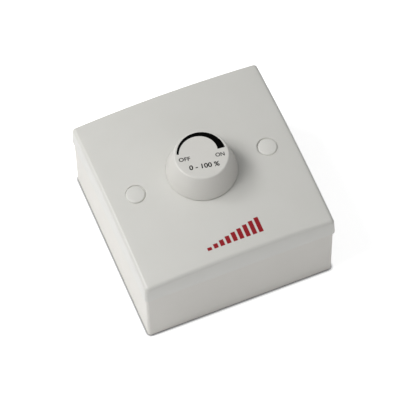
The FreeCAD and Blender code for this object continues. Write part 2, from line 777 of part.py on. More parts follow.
def make_pot_shaft():
    """Turn the D-ended shaft with its collar, tail and circlip groove."""
    body = new_body("pot_shaft", BUSHING_LOW)
    groove_low = "(" + BUSHING_TOP + " + Size.running_clearance - " + BUSHING_LOW + ")"
    groove_high = "(" + groove_low + " + Size.circlip_thickness)"
    top = ("(" + FACE + " + Size.knob_gap + Size.knob_height - Size.knob_roof"
           " - Size.shaft_end_gap - " + BUSHING_LOW + ")")
    collar_low = "-(Size.running_clearance + Size.shaft_collar)"
    profile = sketch(body, "ShaftProfile", "XZ_Plane")
    outline(profile, [
        ("0", "-Size.running_clearance"),
        ("Size.shaft_radius", "-Size.running_clearance"),
        ("Size.shaft_radius", groove_low),
        ("Size.circlip_groove", groove_low),
        ("Size.circlip_groove", groove_high),
        ("Size.shaft_radius", groove_high),
        ("Size.shaft_radius", top),
        ("0", top),
    ])
    turn(body, profile, "ShaftTurned")
    collar = sketch(body, "CollarOutline", lift="-Size.running_clearance")
    hidden_round(collar, "Size.shaft_collar_radius")
    pad(body, collar, "Collar", "Size.shaft_collar", down=True)
    tail = sketch(body, "ShaftTailOutline", lift=collar_low)
    hidden_round(tail, "Size.shaft_tail_radius")
    pad(body, tail, "ShaftTail", "Size.rotor_thickness", down=True)
    flat = sketch(body, "ShaftFlatOutline", lift=top)
    rectangle(flat, "-Size.shaft_radius - Size.over_cut", "Size.shaft_flat",
              "Size.shaft_radius + Size.over_cut", "Size.shaft_radius + Size.over_cut")
    pocket(body, flat, "ShaftFlat", "Size.shaft_flat_length")
    return body


def make_shaft_circlip():
    """Stamp the open ring that keeps the shaft in its bushing."""
    body = new_body("shaft_circlip", BUSHING_TOP + " + Size.running_clearance")
    ring = sketch(body, "CirclipOutline")
    hidden_round(ring, "Size.circlip_radius")
    hidden_round(ring, clearing("Size.circlip_groove"))
    pad(body, ring, "CirclipRing", "Size.circlip_thickness")
    gap = sketch(body, "CirclipGapOutline")
    rectangle(gap, "-Size.circlip_gap_width / 2", "0",
              "Size.circlip_gap_width / 2", "-Size.circlip_radius - Size.over_cut")
    pocket(body, gap, "CirclipGap", "Size.circlip_thickness", up=True)
    return body


# Potentiometer

def make_pot_bushing():
    """Cast the flanged bushing that carries the shaft and clamps through the plate."""
    body = new_body("pot_bushing", BUSHING_LOW)
    length = BUSHING_TOP + " - " + BUSHING_LOW
    flange = sketch(body, "FlangeOutline")
    hidden_round(flange, "Size.bushing_flange_radius")
    pad(body, flange, "Flange", "Size.bushing_flange")
    barrel = sketch(body, "BarrelOutline")
    circle(barrel, "Size.bushing_radius")
    pad(body, barrel, "Barrel", length)
    tab = sketch(body, "LocatingTabOutline")
    centred(tab, "Size.locating_tab_depth", "Size.locating_tab_width", "Size.locating_tab_offset")
    pad(body, tab, "LocatingTab", "Size.bushing_flange + Size.sink_thickness * 0.8")
    bore = sketch(body, "BushingBoreOutline")
    circle(bore, "Size.shaft_radius + Size.running_clearance")
    pocket(body, bore, "BushingBore", length, up=True)
    return body


def make_pot_nut():
    """Cut the hexagon nut that clamps the bushing to the plate."""
    body = new_body("pot_nut", FACE + " + Size.washer_thickness")
    reach = "Size.nut_across_flats / 3^0.5"
    half = "Size.nut_across_flats / 2"
    hexagon = sketch(body, "NutOutline")
    outline(hexagon, [
        (reach, "0"),
        (reach + " / 2", half),
        ("-" + reach + " / 2", half),
        ("-" + reach, "0"),
        ("-" + reach + " / 2", "-" + half),
        (reach + " / 2", "-" + half),
    ])
    hidden_round(hexagon, clearing("Size.bushing_radius + Size.thread_clearance"))
    pad(body, hexagon, "Nut", "Size.nut_thickness")
    return body


def make_pot_washer():
    """Stamp the washer between the nut and the plate."""
    body = new_body("pot_washer", FACE)
    ring = sketch(body, "WasherOutline")
    hidden_round(ring, "Size.washer_radius")
    hidden_round(ring, clearing("Size.bushing_radius + Size.thread_clearance"))
    pad(body, ring, "Washer", "Size.washer_thickness")
    return body


def make_pot_case():
    """Draw the round can behind the flange, with the stop that ends the shaft's turn."""
    body = new_body("pot_case", BUSHING_LOW)
    floor = "(-Size.case_height + Size.case_wall)"
    cup = sketch(body, "CaseOutline")
    hidden_round(cup, "Size.bushing_flange_radius")
    pad(body, cup, "CaseCup", "Size.case_height", down=True)
    hollow = sketch(body, "CaseHollowOutline")
    hidden_round(hollow, "(Size.bushing_flange_radius - Size.case_wall)")
    pocket(body, hollow, "CaseHollow", "Size.case_height - Size.case_wall")
    tail_slot = sketch(body, "TailSlotOutline", lift=floor)
    rectangle(tail_slot, "-Size.track_tail_width / 2 - Size.fit_clearance", "0",
              "Size.track_tail_width / 2 + Size.fit_clearance", "-Size.bushing_flange_radius - Size.over_cut")
    pocket(body, tail_slot, "TailSlot", "Size.track_thickness + Size.fit_clearance", up=True)
    stop = sketch(body, "StopOutline", lift="-Size.running_clearance")
    low = "(90 - Size.stop_half_angle)"
    high = "(90 + Size.stop_half_angle)"
    wall = "(Size.bushing_flange_radius - Size.case_wall / 2)"
    outline(stop, [
        radial("Size.stop_inner_radius", low),
        radial(wall, low),
        radial(wall, "90"),
        radial(wall, high),
        radial("Size.stop_inner_radius", high),
        radial("Size.stop_inner_radius", "90"),
    ])
    pad(body, stop, "Stop", "Size.shaft_collar + Size.rotor_thickness", down=True)
    return body


TRACK_LOW = "(" + CASE_LOW + " + Size.case_wall)"
TRACK_TOP = "(" + TRACK_LOW + " + Size.track_thickness)"
ROTOR_LOW = ("(" + BUSHING_LOW + " - Size.running_clearance - Size.shaft_collar"
             " - Size.rotor_thickness)")


def make_pot_track():
    """Punch the track wafer with its tail that carries the terminals."""
    body = new_body("pot_track", TRACK_LOW)
    wafer = sketch(body, "WaferOutline")
    hidden_round(wafer, "Size.bushing_flange_radius - Size.case_wall - Size.fit_clearance")
    pad(body, wafer, "Wafer", "Size.track_thickness")
    tail = sketch(body, "TailOutline")
    rectangle(tail, "-Size.track_tail_width / 2", "0", "Size.track_tail_width / 2", "-Size.track_tail_length")
    pad(body, tail, "Tail", "Size.track_thickness")
    hole = sketch(body, "WaferHoleOutline")
    hidden_round(hole, "Size.shaft_tail_radius")
    pocket(body, hole, "WaferHole", "Size.track_thickness", up=True)
    return body


def make_wiper_rotor():
    """Mould the rotor pressed on the shaft's tail, with the lug that meets the stop."""
    body = new_body("wiper_rotor", ROTOR_LOW)
    disc = sketch(body, "RotorOutline")
    hidden_round(disc, "Size.rotor_radius")
    hidden_round(disc, "Size.shaft_tail_radius")
    pad(body, disc, "RotorDisc", "Size.rotor_thickness")
    lug = sketch(body, "LugOutline")
    middle = "90 - Size.stop_half_angle - Size.stop_play_angle - Size.rotor_lug_half_angle"
    low = "(" + middle + " - Size.rotor_lug_half_angle)"
    high = "(" + middle + " + Size.rotor_lug_half_angle)"
    root = "(Size.rotor_radius * 0.8)"
    outline(lug, [
        radial(root, low),
        radial("Size.rotor_lug_radius", low),
        radial("Size.rotor_lug_radius", high),
        radial(root, high),
    ])
    pad(body, lug, "Lug", "Size.rotor_thickness")
    return body


def make_wiper_contact():
    """Stamp the brush under the rotor: a leaf with two tips over the track."""
    body = new_body("wiper_contact", ROTOR_LOW)
    leaf = sketch(body, "BrushOutline")
    rectangle(leaf, "Size.brush_inner - Size.brush_width / 3", "-Size.brush_width / 2",
              "Size.brush_outer + Size.brush_tip_radius", "Size.brush_width / 2")
    pad(body, leaf, "BrushLeaf", "Size.brush_thickness", down=True)
    tips = sketch(body, "BrushTipOutline")
    for place in ("Size.brush_inner", "Size.brush_outer"):
        centred(tips, "2 * Size.brush_tip_radius", "2 * Size.brush_tip_radius", place)
    pad(body, tips, "BrushTips", ROTOR_LOW + " - " + TRACK_TOP + " - Size.running_clearance", down=True)
    return body


def make_pot_terminals():
    """Form the three terminals from the wafer's tail down through the board."""
    body = new_body("pot_terminals")
    end = "Size.track_tail_length"
    legs = sketch(body, "TerminalLegOutline", lift="Size.board_level - Size.pin_below_board")
    feet = sketch(body, "TerminalFootOutline", lift=TRACK_TOP)
    for offset in ("-Size.pin_pitch", "0", "Size.pin_pitch"):
        low = offset + " - Size.pin_width / 2"
        high = offset + " + Size.pin_width / 2"
        rectangle(legs, low, "-" + end + " - Size.pin_thickness", high, "-" + end)
        rectangle(feet, low, "-" + end + " - Size.pin_thickness", high, "-" + end + " + Size.pin_foot")
    pad(body, legs, "TerminalLegs", TRACK_TOP + " - Size.board_level + Size.pin_below_board")
    pad(body, feet, "TerminalFeet", "Size.pin_thickness")
    return body


def make_switch_deck():
    """Mould the closed off-switch deck between the can and the board."""
    body = new_body("switch_deck", BOARD_TOP)
    deck = sketch(body, "DeckOutline")
    hidden_round(deck, "Size.bushing_flange_radius")
    pad(body, deck, "Deck", CASE_LOW + " - " + BOARD_TOP)
    return body


def make_switch_terminals():
    """Form the two switch pins that pass through the board."""
    body = new_body("switch_terminals", "Size.board_level - Size.pin_below_board")
    pins = sketch(body, "SwitchPinOutline")
    for sign in ("", "-"):
        centred(pins, "Size.pin_width", "Size.pin_thickness", sign + "Size.switch_pin_offset")
    pad(body, pins, "SwitchPins", "Size.board_thickness + Size.pin_below_board")
    return body


# Module case: heat sink in front, tray behind

def four_corners(drawing, radius):
    """Draw one small round over each corner post of the module."""
    for sx, sy in CORNER_SIGNS:
        many_sided(drawing, radius, "%d * %s" % (sx, POST_X), "%d * %s" % (sy, POST_Y))


def transistor_places():
    """Give the X formula of each power transistor."""
    return ("-Size.transistor_offset", "Size.transistor_offset")


TRANSISTOR_START = ("(Size.module_length / 2 - Size.tray_wall - Size.transistor_end_gap"
                    " - Size.tab_length - Size.transistor_length)")
TAB_HOLE_Y = "(" + TRANSISTOR_START + " + Size.transistor_length + Size.tab_length / 2)"


def make_heat_sink():
    """Press the aluminium front of the module, with an ear folded down at each end."""
    body = new_body("heat_sink", SINK_LOW)
    sheet = sketch(body, "SinkOutline")
    centred(sheet, "Size.module_width", "Size.module_length")
    pad(body, sheet, "SinkSheet", "Size.sink_thickness")
    fillet(body, "SinkCorners", "Size.module_corner", is_upright)
    ears = sketch(body, "EarOutline", lift="-Size.sink_ear_drop")
    edge = "Size.module_length / 2"
    for sign in ("", "-"):
        rectangle(ears, "-Size.sink_ear_length / 2", sign + edge,
                  "Size.sink_ear_length / 2", sign + "(" + edge + " + Size.sink_thickness)")
    pad(body, ears, "Ears", "Size.sink_ear_drop + Size.sink_thickness")
    top = value("sink_thickness")
    outside = value("module_length") / 2 + top - 0.01
    fillet(body, "EarBends", "Size.sink_thickness * 0.8",
           lambda edge: is_level(edge, top) and abs(edge.CenterOfMass.y) > outside)
    holes = sketch(body, "SinkHoleOutline")
    circle(holes, "Size.bushing_radius + Size.fit_clearance")
    centred(holes, "Size.locating_tab_depth + 2 * Size.fit_clearance",
            "Size.locating_tab_width + 2 * Size.fit_clearance", "Size.locating_tab_offset")
    four_corners(holes, "Size.module_screw_radius + Size.thread_clearance")
    for place in transistor_places():
        many_sided(holes, "Size.transistor_screw_radius", place, TAB_HOLE_Y)
    pocket(body, holes, "SinkHoles", "Size.sink_thickness", up=True)
    sinks = sketch(body, "SinkCounterboreOutline", lift="Size.sink_thickness")
    four_corners(sinks, "Size.module_screw_head_radius + Size.thread_clearance")
    pocket(body, sinks, "SinkCounterbores", "Size.module_screw_head")
    return body


def make_module_screws():
    """Form the four flat-head screws that close the module."""
    body = new_body("module_screws", SINK_TOP)
    heads = sketch(body, "ModuleHeadOutline")
    four_corners(heads, "Size.module_screw_head_radius")
    pad(body, heads, "ModuleHeads", "Size.module_screw_head", down=True)
    shanks = sketch(body, "ModuleShankOutline")
    four_corners(shanks, "Size.module_screw_radius")
    pad(body, shanks, "ModuleShanks", "Size.module_screw_length", down=True)
    return body


def make_module_tray():
    """Mould the tray: walls, corner posts, board ledges, vents and the terminal window."""
    body = new_body("module_tray", "Size.tray_rear_level")
    depth = "(" + SINK_LOW + " - Size.tray_rear_level)"
    shell = sketch(body, "TrayOutline")
    centred(shell, "Size.module_width", "Size.module_length")
    pad(body, shell, "TrayBlock", depth)
    fillet(body, "TrayCorners", "Size.module_corner", is_upright)
    hollow = sketch(body, "TrayHollow", lift="Size.tray_floor")
    centred(hollow, "Size.module_width - 2 * Size.tray_wall", "Size.module_length - 2 * Size.tray_wall")
    pocket(body, hollow, "TrayCavity", depth + " - Size.tray_floor", up=True)
    posts = sketch(body, "PostOutline")
    four_corners(posts, "Size.post_radius")
    pad(body, posts, "Posts", depth)
    ledges = sketch(body, "LedgeOutline")
    for sx, sy in CORNER_SIGNS:
        across = "%d * (Size.module_width / 2 - Size.tray_wall / 2)" % sx
        inward = "%d * (Size.module_width / 2 - Size.tray_wall - Size.ledge_depth)" % sx
        start = "%d * Size.ledge_width" % sy
        rectangle(ledges, across, start, inward, start + " * 2")
    pad(body, ledges, "Ledges", "Size.board_level - Size.tray_rear_level")
    pilots = sketch(body, "PilotOutline", lift=depth)
    four_corners(pilots, "Size.module_screw_radius")
    pocket(body, pilots, "Pilots", "Size.module_screw_length + Size.over_cut")
    window = sketch(body, "TerminalWindowOutline")
    rectangle(window, "-" + BLOCK_HALF + " - Size.fit_clearance", "-Size.module_length / 2 - Size.over_cut",
              BLOCK_HALF + " + Size.fit_clearance",
              "-Size.module_length / 2 + Size.block_depth + Size.fit_clearance")
    pocket(body, window, "TerminalWindow", "Size.board_level - Size.tray_rear_level", up=True)
    cut_vents(body)
    return body


def cut_vents(body):
    """Cut the row of upright slots through both long walls."""
    span = "(Size.vent_count - 1) * Size.vent_pitch"
    low = "(" + BOARD_TOP + " + 2 * Size.fit_clearance - Size.tray_rear_level)"
    slot = sketch(body, "VentOutline", "YZ_Plane")
    rectangle(slot, "-" + span + " / 2 - Size.vent_width / 2", low,
              "-" + span + " / 2 + Size.vent_width / 2", low + " + Size.vent_height")
    right = pocket(body, slot, "VentRight", "Size.module_width", up=True)
    left = pocket(body, slot, "VentLeft", "Size.module_width")
    row = body.newObject("PartDesign::LinearPattern", "VentRow")
    row.Originals = [right, left]
    row.Direction = (origin_item(body, "Y_Axis"), [""])
    row.setExpression("Length", span)
    row.setExpression("Occurrences", "Size.vent_count")
    body.Tip = row


# Terminals

BLOCK_HALF = "(Size.way_count * Size.way_pitch / 2 + Size.block_side)"
CLAMP_Y = "(-Size.module_length / 2 + Size.clamp_front + Size.clamp_depth / 2)"
CLAMP_LOW = "(Size.tray_rear_level + Size.terminal_head_space)"
WIRE_LEVEL = "(" + CLAMP_LOW + " + Size.clamp_height - Size.wire_hole_radius - Size.wire_hole_cover)"


def way_places():
    """Give the X formula of each terminal way."""
    count = int(value("way_count"))
    return ["(%s - (Size.way_count - 1) / 2) * Size.way_pitch" % i for i in range(count)]


def make_terminal_block():
    """Mould the block with a screw well and a wire hole for each way."""
    body = new_body("terminal_block")
    block = sketch(body, "BlockOutline", lift="Size.tray_rear_level")
    rectangle(block, "-" + BLOCK_HALF, "-Size.module_length / 2",
              BLOCK_HALF, "-Size.module_length / 2 + Size.block_depth")
    pad(body, block, "Block", "Size.board_level - Size.tray_rear_level")
    wells = sketch(body, "ScrewWellOutline", lift="Size.tray_rear_level")
    wires = sketch(body, "WireHoleOutline", "XZ_Plane", lift="Size.module_length / 2")
    for place in way_places():
        centred(wells, "Size.clamp_width + 2 * Size.fit_clearance",
                "Size.clamp_depth + 2 * Size.fit_clearance", place, CLAMP_Y)
        many_sided(wires, "Size.wire_hole_radius", place, WIRE_LEVEL)
    pocket(body, wells, "Wells", "Size.terminal_head_space + Size.clamp_height", up=True)
    pocket(body, wires, "WireHoles", "Size.clamp_front + Size.fit_clearance")
    return body


def make_terminal_clamps():
    """Cut the brass clamps, one in each well."""
    body = new_body("terminal_clamps")
    blocks = sketch(body, "ClampOutline", lift=CLAMP_LOW)
    screws = sketch(body, "ClampScrewOutline", lift=CLAMP_LOW)
    wires = sketch(body, "ClampWireOutline", "XZ_Plane", lift="Size.module_length / 2 - Size.clamp_front")
    for place in way_places():
        centred(blocks, "Size.clamp_width", "Size.clamp_depth", place, CLAMP_Y)
        many_sided(screws, "Size.terminal_screw_radius", place, CLAMP_Y)
        many_sided(wires, "Size.wire_hole_radius", place, WIRE_LEVEL)
    pad(body, blocks, "Clamps", "Size.clamp_height")
    pocket(body, screws, "ClampScrewHoles", WIRE_LEVEL + " - " + CLAMP_LOW, up=True)
    pocket(body, wires, "ClampWireHoles", "Size.clamp_depth")
    return body


def make_terminal_screws():
    """Turn the screws that press on the wires."""
    body = new_body("terminal_screws", CLAMP_LOW)
    heads = sketch(body, "TerminalHeadOutline")
    shanks = sketch(body, "TerminalShankOutline")
    for place in way_places():
        many_sided(heads, "Size.terminal_head_radius", place, CLAMP_Y)
        many_sided(shanks, "Size.terminal_screw_radius - Size.thread_clearance", place, CLAMP_Y)
    pad(body, heads, "TerminalHeads", "Size.terminal_head", down=True)
    pad(body, shanks, "TerminalShanks", "Size.terminal_screw_length")
    return body


# Board and its parts

LEAD_Y = "(" + TRANSISTOR_START + " - Size.lead_reach)"


def lead_places():
    """Give the X formula of every transistor lead."""
    return ["%s + %d * Size.lead_pitch" % (place, step)
            for place in transistor_places() for step in (-1, 0, 1)]


def make_circuit_board():
    """Cut the board with its notched corners and pin holes."""
    body = new_body("circuit_board", "Size.board_level")
    half_x = "(Size.module_width / 2 - Size.tray_wall - Size.fit_clearance)"
    half_y = "(Size.module_length / 2 - Size.tray_wall - Size.fit_clearance)"
    board = sketch(body, "BoardOutline")
    rectangle(board, "-" + half_x, "-" + half_y, half_x, half_y)
    pad(body, board, "Board", "Size.board_thickness")
    notches = sketch(body, "NotchOutline")
    for sx, sy in CORNER_SIGNS:
        rectangle(notches, "%d * (%s + Size.over_cut)" % (sx, half_x),
                  "%d * (%s + Size.over_cut)" % (sy, half_y),
                  "%d * (%s - Size.board_notch)" % (sx, half_x),
                  "%d * (%s - Size.board_notch)" % (sy, half_y))
    pocket(body, notches, "Notches", "Size.board_thickness", up=True)
    holes = sketch(body, "PinHoleOutline")
    places = [(offset, "-Size.track_tail_length - Size.pin_thickness / 2")
              for offset in ("-Size.pin_pitch", "0", "Size.pin_pitch")]
    for sign in ("", "-"):
        places += [(sign + "Size.switch_pin_offset", "0"), (FUSE_X, sign + FUSE_LEG)]
    places += [(place, LEAD_Y) for place in lead_places()]
    for x, y in places:
        centred(holes, "Size.pin_hole_width", "Size.pin_hole_width", x, y)
    pocket(body, holes, "PinHoles", "Size.board_thickness", up=True)
    return body


def make_power_transistors():
    """Form the two flat-mounted transistors with their tabs and bent leads."""
    top = "(" + SINK_LOW + " - Size.pad_thickness)"
    body = new_body("power_transistors")
    start = TRANSISTOR_START
    half = "Size.transistor_width / 2"
    cases = sketch(body, "TransistorOutline", lift=top)
    tabs = sketch(body, "TabOutline", lift=top)
    holes = sketch(body, "TabHoleOutline", lift=top)
    for place in transistor_places():
        low = "%s - %s" % (place, half)
        high = "%s + %s" % (place, half)
        rectangle(cases, low, start, high, start + " + Size.transistor_length")
        rectangle(tabs, low, start + " + Size.transistor_length / 2",
                  high, start + " + Size.transistor_length + Size.tab_length")
        many_sided(holes, "Size.tab_hole_radius", place, TAB_HOLE_Y)
    pad(body, cases, "TransistorCases", "Size.transistor_thickness", down=True)
    pad(body, tabs, "Tabs", "Size.tab_thickness", down=True)
    pocket(body, holes, "TabHoles", "Size.tab_thickness")
    lead_level = "(" + top + " - Size.transistor_thickness / 2)"
    arms = sketch(body, "LeadArmOutline", lift=lead_level)
    legs = sketch(body, "LeadLegOutline", lift="Size.board_level - Size.pin_below_board")
    for place in lead_places():
        low = "%s - Size.lead_width / 2" % place
        high = "%s + Size.lead_width / 2" % place
        rectangle(arms, low, LEAD_Y + " - Size.lead_thickness / 2", high, start + " + Size.over_cut")
        rectangle(legs, low, LEAD_Y + " - Size.lead_thickness / 2",
                  high, LEAD_Y + " + Size.lead_thickness / 2")
    pad(body, arms, "LeadArms", "Size.lead_thickness", down=True)
    pad(body, legs, "LeadLegs", lead_level + " - Size.board_level + Size.pin_below_board")
    return body


def make_insulating_pads():
    """Cut the thin pads between the transistors and the heat sink."""
    body = new_body("insulating_pads", SINK_LOW)
    start = TRANSISTOR_START
    pads = sketch(body, "PadOutline")
    for place in transistor_places():
        rectangle(pads, "%s - Size.transistor_width / 2" % place, start,
                  "%s + Size.transistor_width / 2" % place,
                  start + " + Size.transistor_length + Size.tab_length")
        many_sided(pads, "Size.tab_hole_radius", place, TAB_HOLE_Y)
    pad(body, pads, "Pads", "Size.pad_thickness", down=True)
    return body


def make_transistor_screws():
    """Turn the two screws that hold the tabs against the heat sink."""
    seat = "(" + SINK_LOW + " - Size.pad_thickness - Size.tab_thickness)"
    body = new_body("transistor_screws", seat)
    heads = sketch(body, "TransistorHeadOutline")
    shanks = sketch(body, "TransistorShankOutline")
    for place in transistor_places():
        many_sided(heads, "Size.transistor_screw_head_radius", place, TAB_HOLE_Y)
        many_sided(shanks, "Size.transistor_screw_radius - Size.thread_clearance", place, TAB_HOLE_Y)
    pad(body, heads, "TransistorHeads", "Size.transistor_screw_head", down=True)
    pad(body, shanks, "TransistorShanks", SINK_TOP + " - " + seat)
    return body


def make_reservoir_capacitor():
    """Form the round can of the reservoir capacitor."""
    body = new_body("reservoir_capacitor", BOARD_TOP, CAPACITOR_X, PARTS_Y)
    can = sketch(body, "CanOutline")
    hidden_round(can, "Size.capacitor_radius")
    pad(body, can, "Can", "Size.capacitor_height")
    return body


def make_film_capacitor():
    """Mould the box of the film capacitor."""
    body = new_body("film_capacitor", BOARD_TOP, FILM_X, PARTS_Y)
    box = sketch(body, "FilmOutline")
    centred(box, "Size.film_length", "Size.film_width")
    pad(body, box, "FilmBox", "Size.film_height")
    chamfer(body, "FilmEdges", "Size.film_bevel", is_upright)
    return body


def make_choke_core():
    """Grind the drum core of the choke: two flanges on a narrow post."""
    body = new_body("choke_core", BOARD_TOP, CHOKE_X, PARTS_Y)
    for name, radius, level, height in (
            ("LowFlange", "Size.choke_radius", "0 mm", "Size.choke_flange"),
            ("Post", "Size.choke_core_radius", "0 mm", "Size.choke_height"),
            ("HighFlange", "Size.choke_radius", "Size.choke_height - Size.choke_flange", "Size.choke_flange")):
        round_part = sketch(body, name + "Outline", lift=level)
        many_sided(round_part, radius)
        pad(body, round_part, name, height)
    return body


def make_choke_winding():
    """Wind the drum full: one closed sleeve of copper wire."""
    body = new_body("choke_winding", BOARD_TOP + " + Size.choke_flange", CHOKE_X, PARTS_Y)
    sleeve = sketch(body, "WindingOutline")
    many_sided(sleeve, "Size.winding_radius")
    many_sided(sleeve, "Size.choke_core_radius")
    pad(body, sleeve, "Winding", "Size.choke_height - 2 * Size.choke_flange")
    return body


def make_control_chip():
    """Mould the eight-legged chip with its legs on the board."""
    body = new_body("control_chip", BOARD_TOP, "0 mm", CHIP_Y)
    stand = "Size.chip_lead_height / 2"
    case = sketch(body, "ChipOutline", lift=stand)
    centred(case, "Size.chip_length", "Size.chip_width")
    pad(body, case, "ChipCase", "Size.chip_height")
    legs = sketch(body, "ChipLegOutline")
    for side in (1, -1):
        for step in range(4):
            middle = "%s * Size.lead_pitch" % (step - 1.5)
            rectangle(legs, middle + " - Size.lead_width / 2", "%d * (Size.chip_width / 2 - 0.3)" % side,
                      middle + " + Size.lead_width / 2",
                      "%d * (Size.chip_width / 2 + Size.lead_thickness)" % side)
    pad(body, legs, "ChipLegs", "Size.chip_lead_height + " + stand)
    return body


def make_fuse():
    """Form the wire-ended fuse with its legs through the board."""
    body = new_body("fuse", BOARD_TOP, FUSE_X)
    tube = sketch(body, "FuseOutline", "XZ_Plane", lift="-Size.fuse_length / 2")
    many_sided(tube, "Size.fuse_radius", "0", "(Size.fuse_radius + Size.running_clearance)")
    pad(body, tube, "FuseTube", "Size.fuse_length")
    wires = sketch(body, "FuseWireOutline", "XZ_Plane", lift="-(" + FUSE_LEG + " + Size.lead_thickness / 2)")
    centred(wires, "Size.lead_thickness", "Size.lead_thickness", "0",
            "(Size.fuse_radius + Size.running_clearance)")
    pad(body, wires, "FuseWires", "2 * " + FUSE_LEG + " + Size.lead_thickness")
    legs = sketch(body, "FuseLegOutline", lift="-Size.board_thickness - Size.pin_below_board")
    for sign in ("", "-"):
        centred(legs, "Size.lead_thickness", "Size.lead_thickness", "0", sign + FUSE_LEG)
    pad(body, legs, "FuseLegs",
        "Size.board_thickness + Size.pin_below_board + Size.fuse_radius + Size.lead_thickness / 2")
    return body


def make_resistors():
    """Form the row of resistors that lie on the board."""
    body = new_body("resistors", BOARD_TOP, RESISTOR_X)
    barrels = sketch(body, "ResistorOutline", "XZ_Plane", lift="-Size.resistor_length / 2")
    for step in range(int(value("resistor_count"))):
        many_sided(barrels, "Size.resistor_radius", "%d * Size.resistor_pitch" % step,
                   "(Size.resistor_radius + Size.running_clearance)")
    pad(body, barrels, "Barrels", "Size.resistor_length")
    return body


# Assembly and export

def make_all():
    """Build every sub-part once."""
    return [
        make_surface_box(),
        make_insert("insert_left", "-"),
        make_insert("insert_right", ""),
        make_front_plate(),
        make_fixing_screw("fixing_screw_left", "-"),
        make_fixing_screw("fixing_screw_right", ""),
        make_screw_cap("screw_cap_left", "-"),
        make_screw_cap("screw_cap_right", ""),
        make_knob(),
        make_knob_spring(),
        make_pot_shaft(),
        make_shaft_circlip(),
        make_wiper_rotor(),
        make_wiper_contact(),
        make_pot_bushing(),
        make_pot_nut(),
        make_pot_washer(),
        make_pot_case(),
        make_pot_track(),
        make_pot_terminals(),
        make_switch_deck(),
        make_switch_terminals(),
        make_heat_sink(),
        make_module_screws(),
        make_module_tray(),
        make_terminal_block(),
        make_terminal_clamps(),
        make_terminal_screws(),
        make_circuit_board(),
        make_power_transistors(),
        make_insulating_pads(),
        make_transistor_screws(),
        make_reservoir_capacitor(),
        make_film_capacitor(),
        make_choke_core(),
        make_choke_winding(),
        make_control_chip(),
        make_fuse(),
        make_resistors(),
    ]


def check(parts):
    """Stop if any object failed or any sub-part has no sound solid."""
    doc.recompute()
    for item in doc.Objects:
        if "Invalid" in item.State or "Error" in item.State:
            raise RuntimeError("failed object: " + item.Name)
    for part in parts:
        shape = part.Shape
        if shape.isNull() or not shape.isValid() or not shape.Solids:
            raise RuntimeError("unsound sub-part: " + part.Label)


def export(parts):
    """Write each sub-part to its own STEP file."""
    os.makedirs("parts", exist_ok=True)
    for part in parts:
        part.Shape.exportStep("parts/" + part.Label + ".step")
        print(part.Label, len(part.Shape.Solids), round(part.Shape.Volume, 1))


PARTS = make_all()
check(PARTS)
export(PARTS)
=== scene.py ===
# %% [markdown]
# # A rotary dimmer for LED lamps, on its surface box
#
# The object is a white moulded wall control: a square box, a crowned front plate with two round
# screw caps, and a tapered knob that turns from off to full. The solids come from the CAD model,
# which is loaded first and stays fixed. This notebook dresses it: it replaces the pieces whose
# edges the eye reads closely by smoother ones, gives every piece a finish, and sets up the light
# and the camera.

import json
import math

import bmesh
import bpy
from mathutils import Matrix, Vector


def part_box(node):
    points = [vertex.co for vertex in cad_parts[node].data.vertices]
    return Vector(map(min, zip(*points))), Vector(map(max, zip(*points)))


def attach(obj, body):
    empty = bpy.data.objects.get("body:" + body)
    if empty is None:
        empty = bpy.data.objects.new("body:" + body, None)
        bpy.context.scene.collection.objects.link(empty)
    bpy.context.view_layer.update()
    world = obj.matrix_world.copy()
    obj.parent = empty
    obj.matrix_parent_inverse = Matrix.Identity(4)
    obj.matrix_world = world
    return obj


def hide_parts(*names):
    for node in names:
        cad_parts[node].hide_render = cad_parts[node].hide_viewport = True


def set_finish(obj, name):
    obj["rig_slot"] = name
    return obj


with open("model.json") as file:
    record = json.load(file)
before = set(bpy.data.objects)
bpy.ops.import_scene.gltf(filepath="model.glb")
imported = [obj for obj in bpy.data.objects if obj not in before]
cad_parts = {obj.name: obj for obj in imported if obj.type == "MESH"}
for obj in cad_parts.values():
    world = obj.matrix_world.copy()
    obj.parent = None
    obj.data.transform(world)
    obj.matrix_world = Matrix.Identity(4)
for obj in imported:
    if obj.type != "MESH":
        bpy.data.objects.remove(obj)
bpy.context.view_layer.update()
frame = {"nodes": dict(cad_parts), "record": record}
NODES = frame["nodes"]
MM = 0.001

# %% [markdown]
# ## The camera
#
# A product photograph like this one is taken from well above the object with a long lens, so
# parallel edges stay nearly parallel. The camera could be placed by eye, but a few known points
# of the object, such as the plate's corners and the middles of the screw caps, fix it much better.
# The numbers below came from such a fit. They give a direction, a small roll, the point that the
# camera looks at and a focal length in pixels of a 400 pixel wide picture.

# %% Camera
PICTURE_WIDTH = 400
SENSOR_WIDTH = 36.0
VIEW_AZIMUTH = math.radians(-21.06)
VIEW_ELEVATION = math.radians(60.33)
VIEW_ROLL = math.radians(-1.48)
VIEW_DISTANCE = 1192.5 * MM
VIEW_TARGET = Vector((-0.10, 2.86, 15.0)) * MM
FOCAL_PIXELS = 2758.9


def place_camera():
    """Put the camera where the fit says, looking at the target with a small roll."""
    level = math.cos(VIEW_ELEVATION)
    back = Vector((
        math.sin(VIEW_AZIMUTH) * level, -math.cos(VIEW_AZIMUTH) * level, math.sin(VIEW_ELEVATION)))
    right = Vector((0, 0, 1)).cross(back).normalized()
    up = back.cross(right)
    turn = Matrix.Rotation(VIEW_ROLL, 3, back)
    axes = Matrix((turn @ right, turn @ up, back)).transposed()
    data = bpy.data.cameras.new("camera")
    data.sensor_width = SENSOR_WIDTH
    data.lens = FOCAL_PIXELS * SENSOR_WIDTH / PICTURE_WIDTH
    camera = bpy.data.objects.new("camera", data)
    camera.matrix_world = Matrix.Translation(VIEW_TARGET + back * VIEW_DISTANCE) @ axes.to_4x4()
    bpy.context.scene.collection.objects.link(camera)
    bpy.context.scene.camera = camera
    return camera


camera = place_camera()
print("lens %.1f mm" % camera.data.lens)
print("camera at", [round(v, 3) for v in camera.matrix_world.translation])

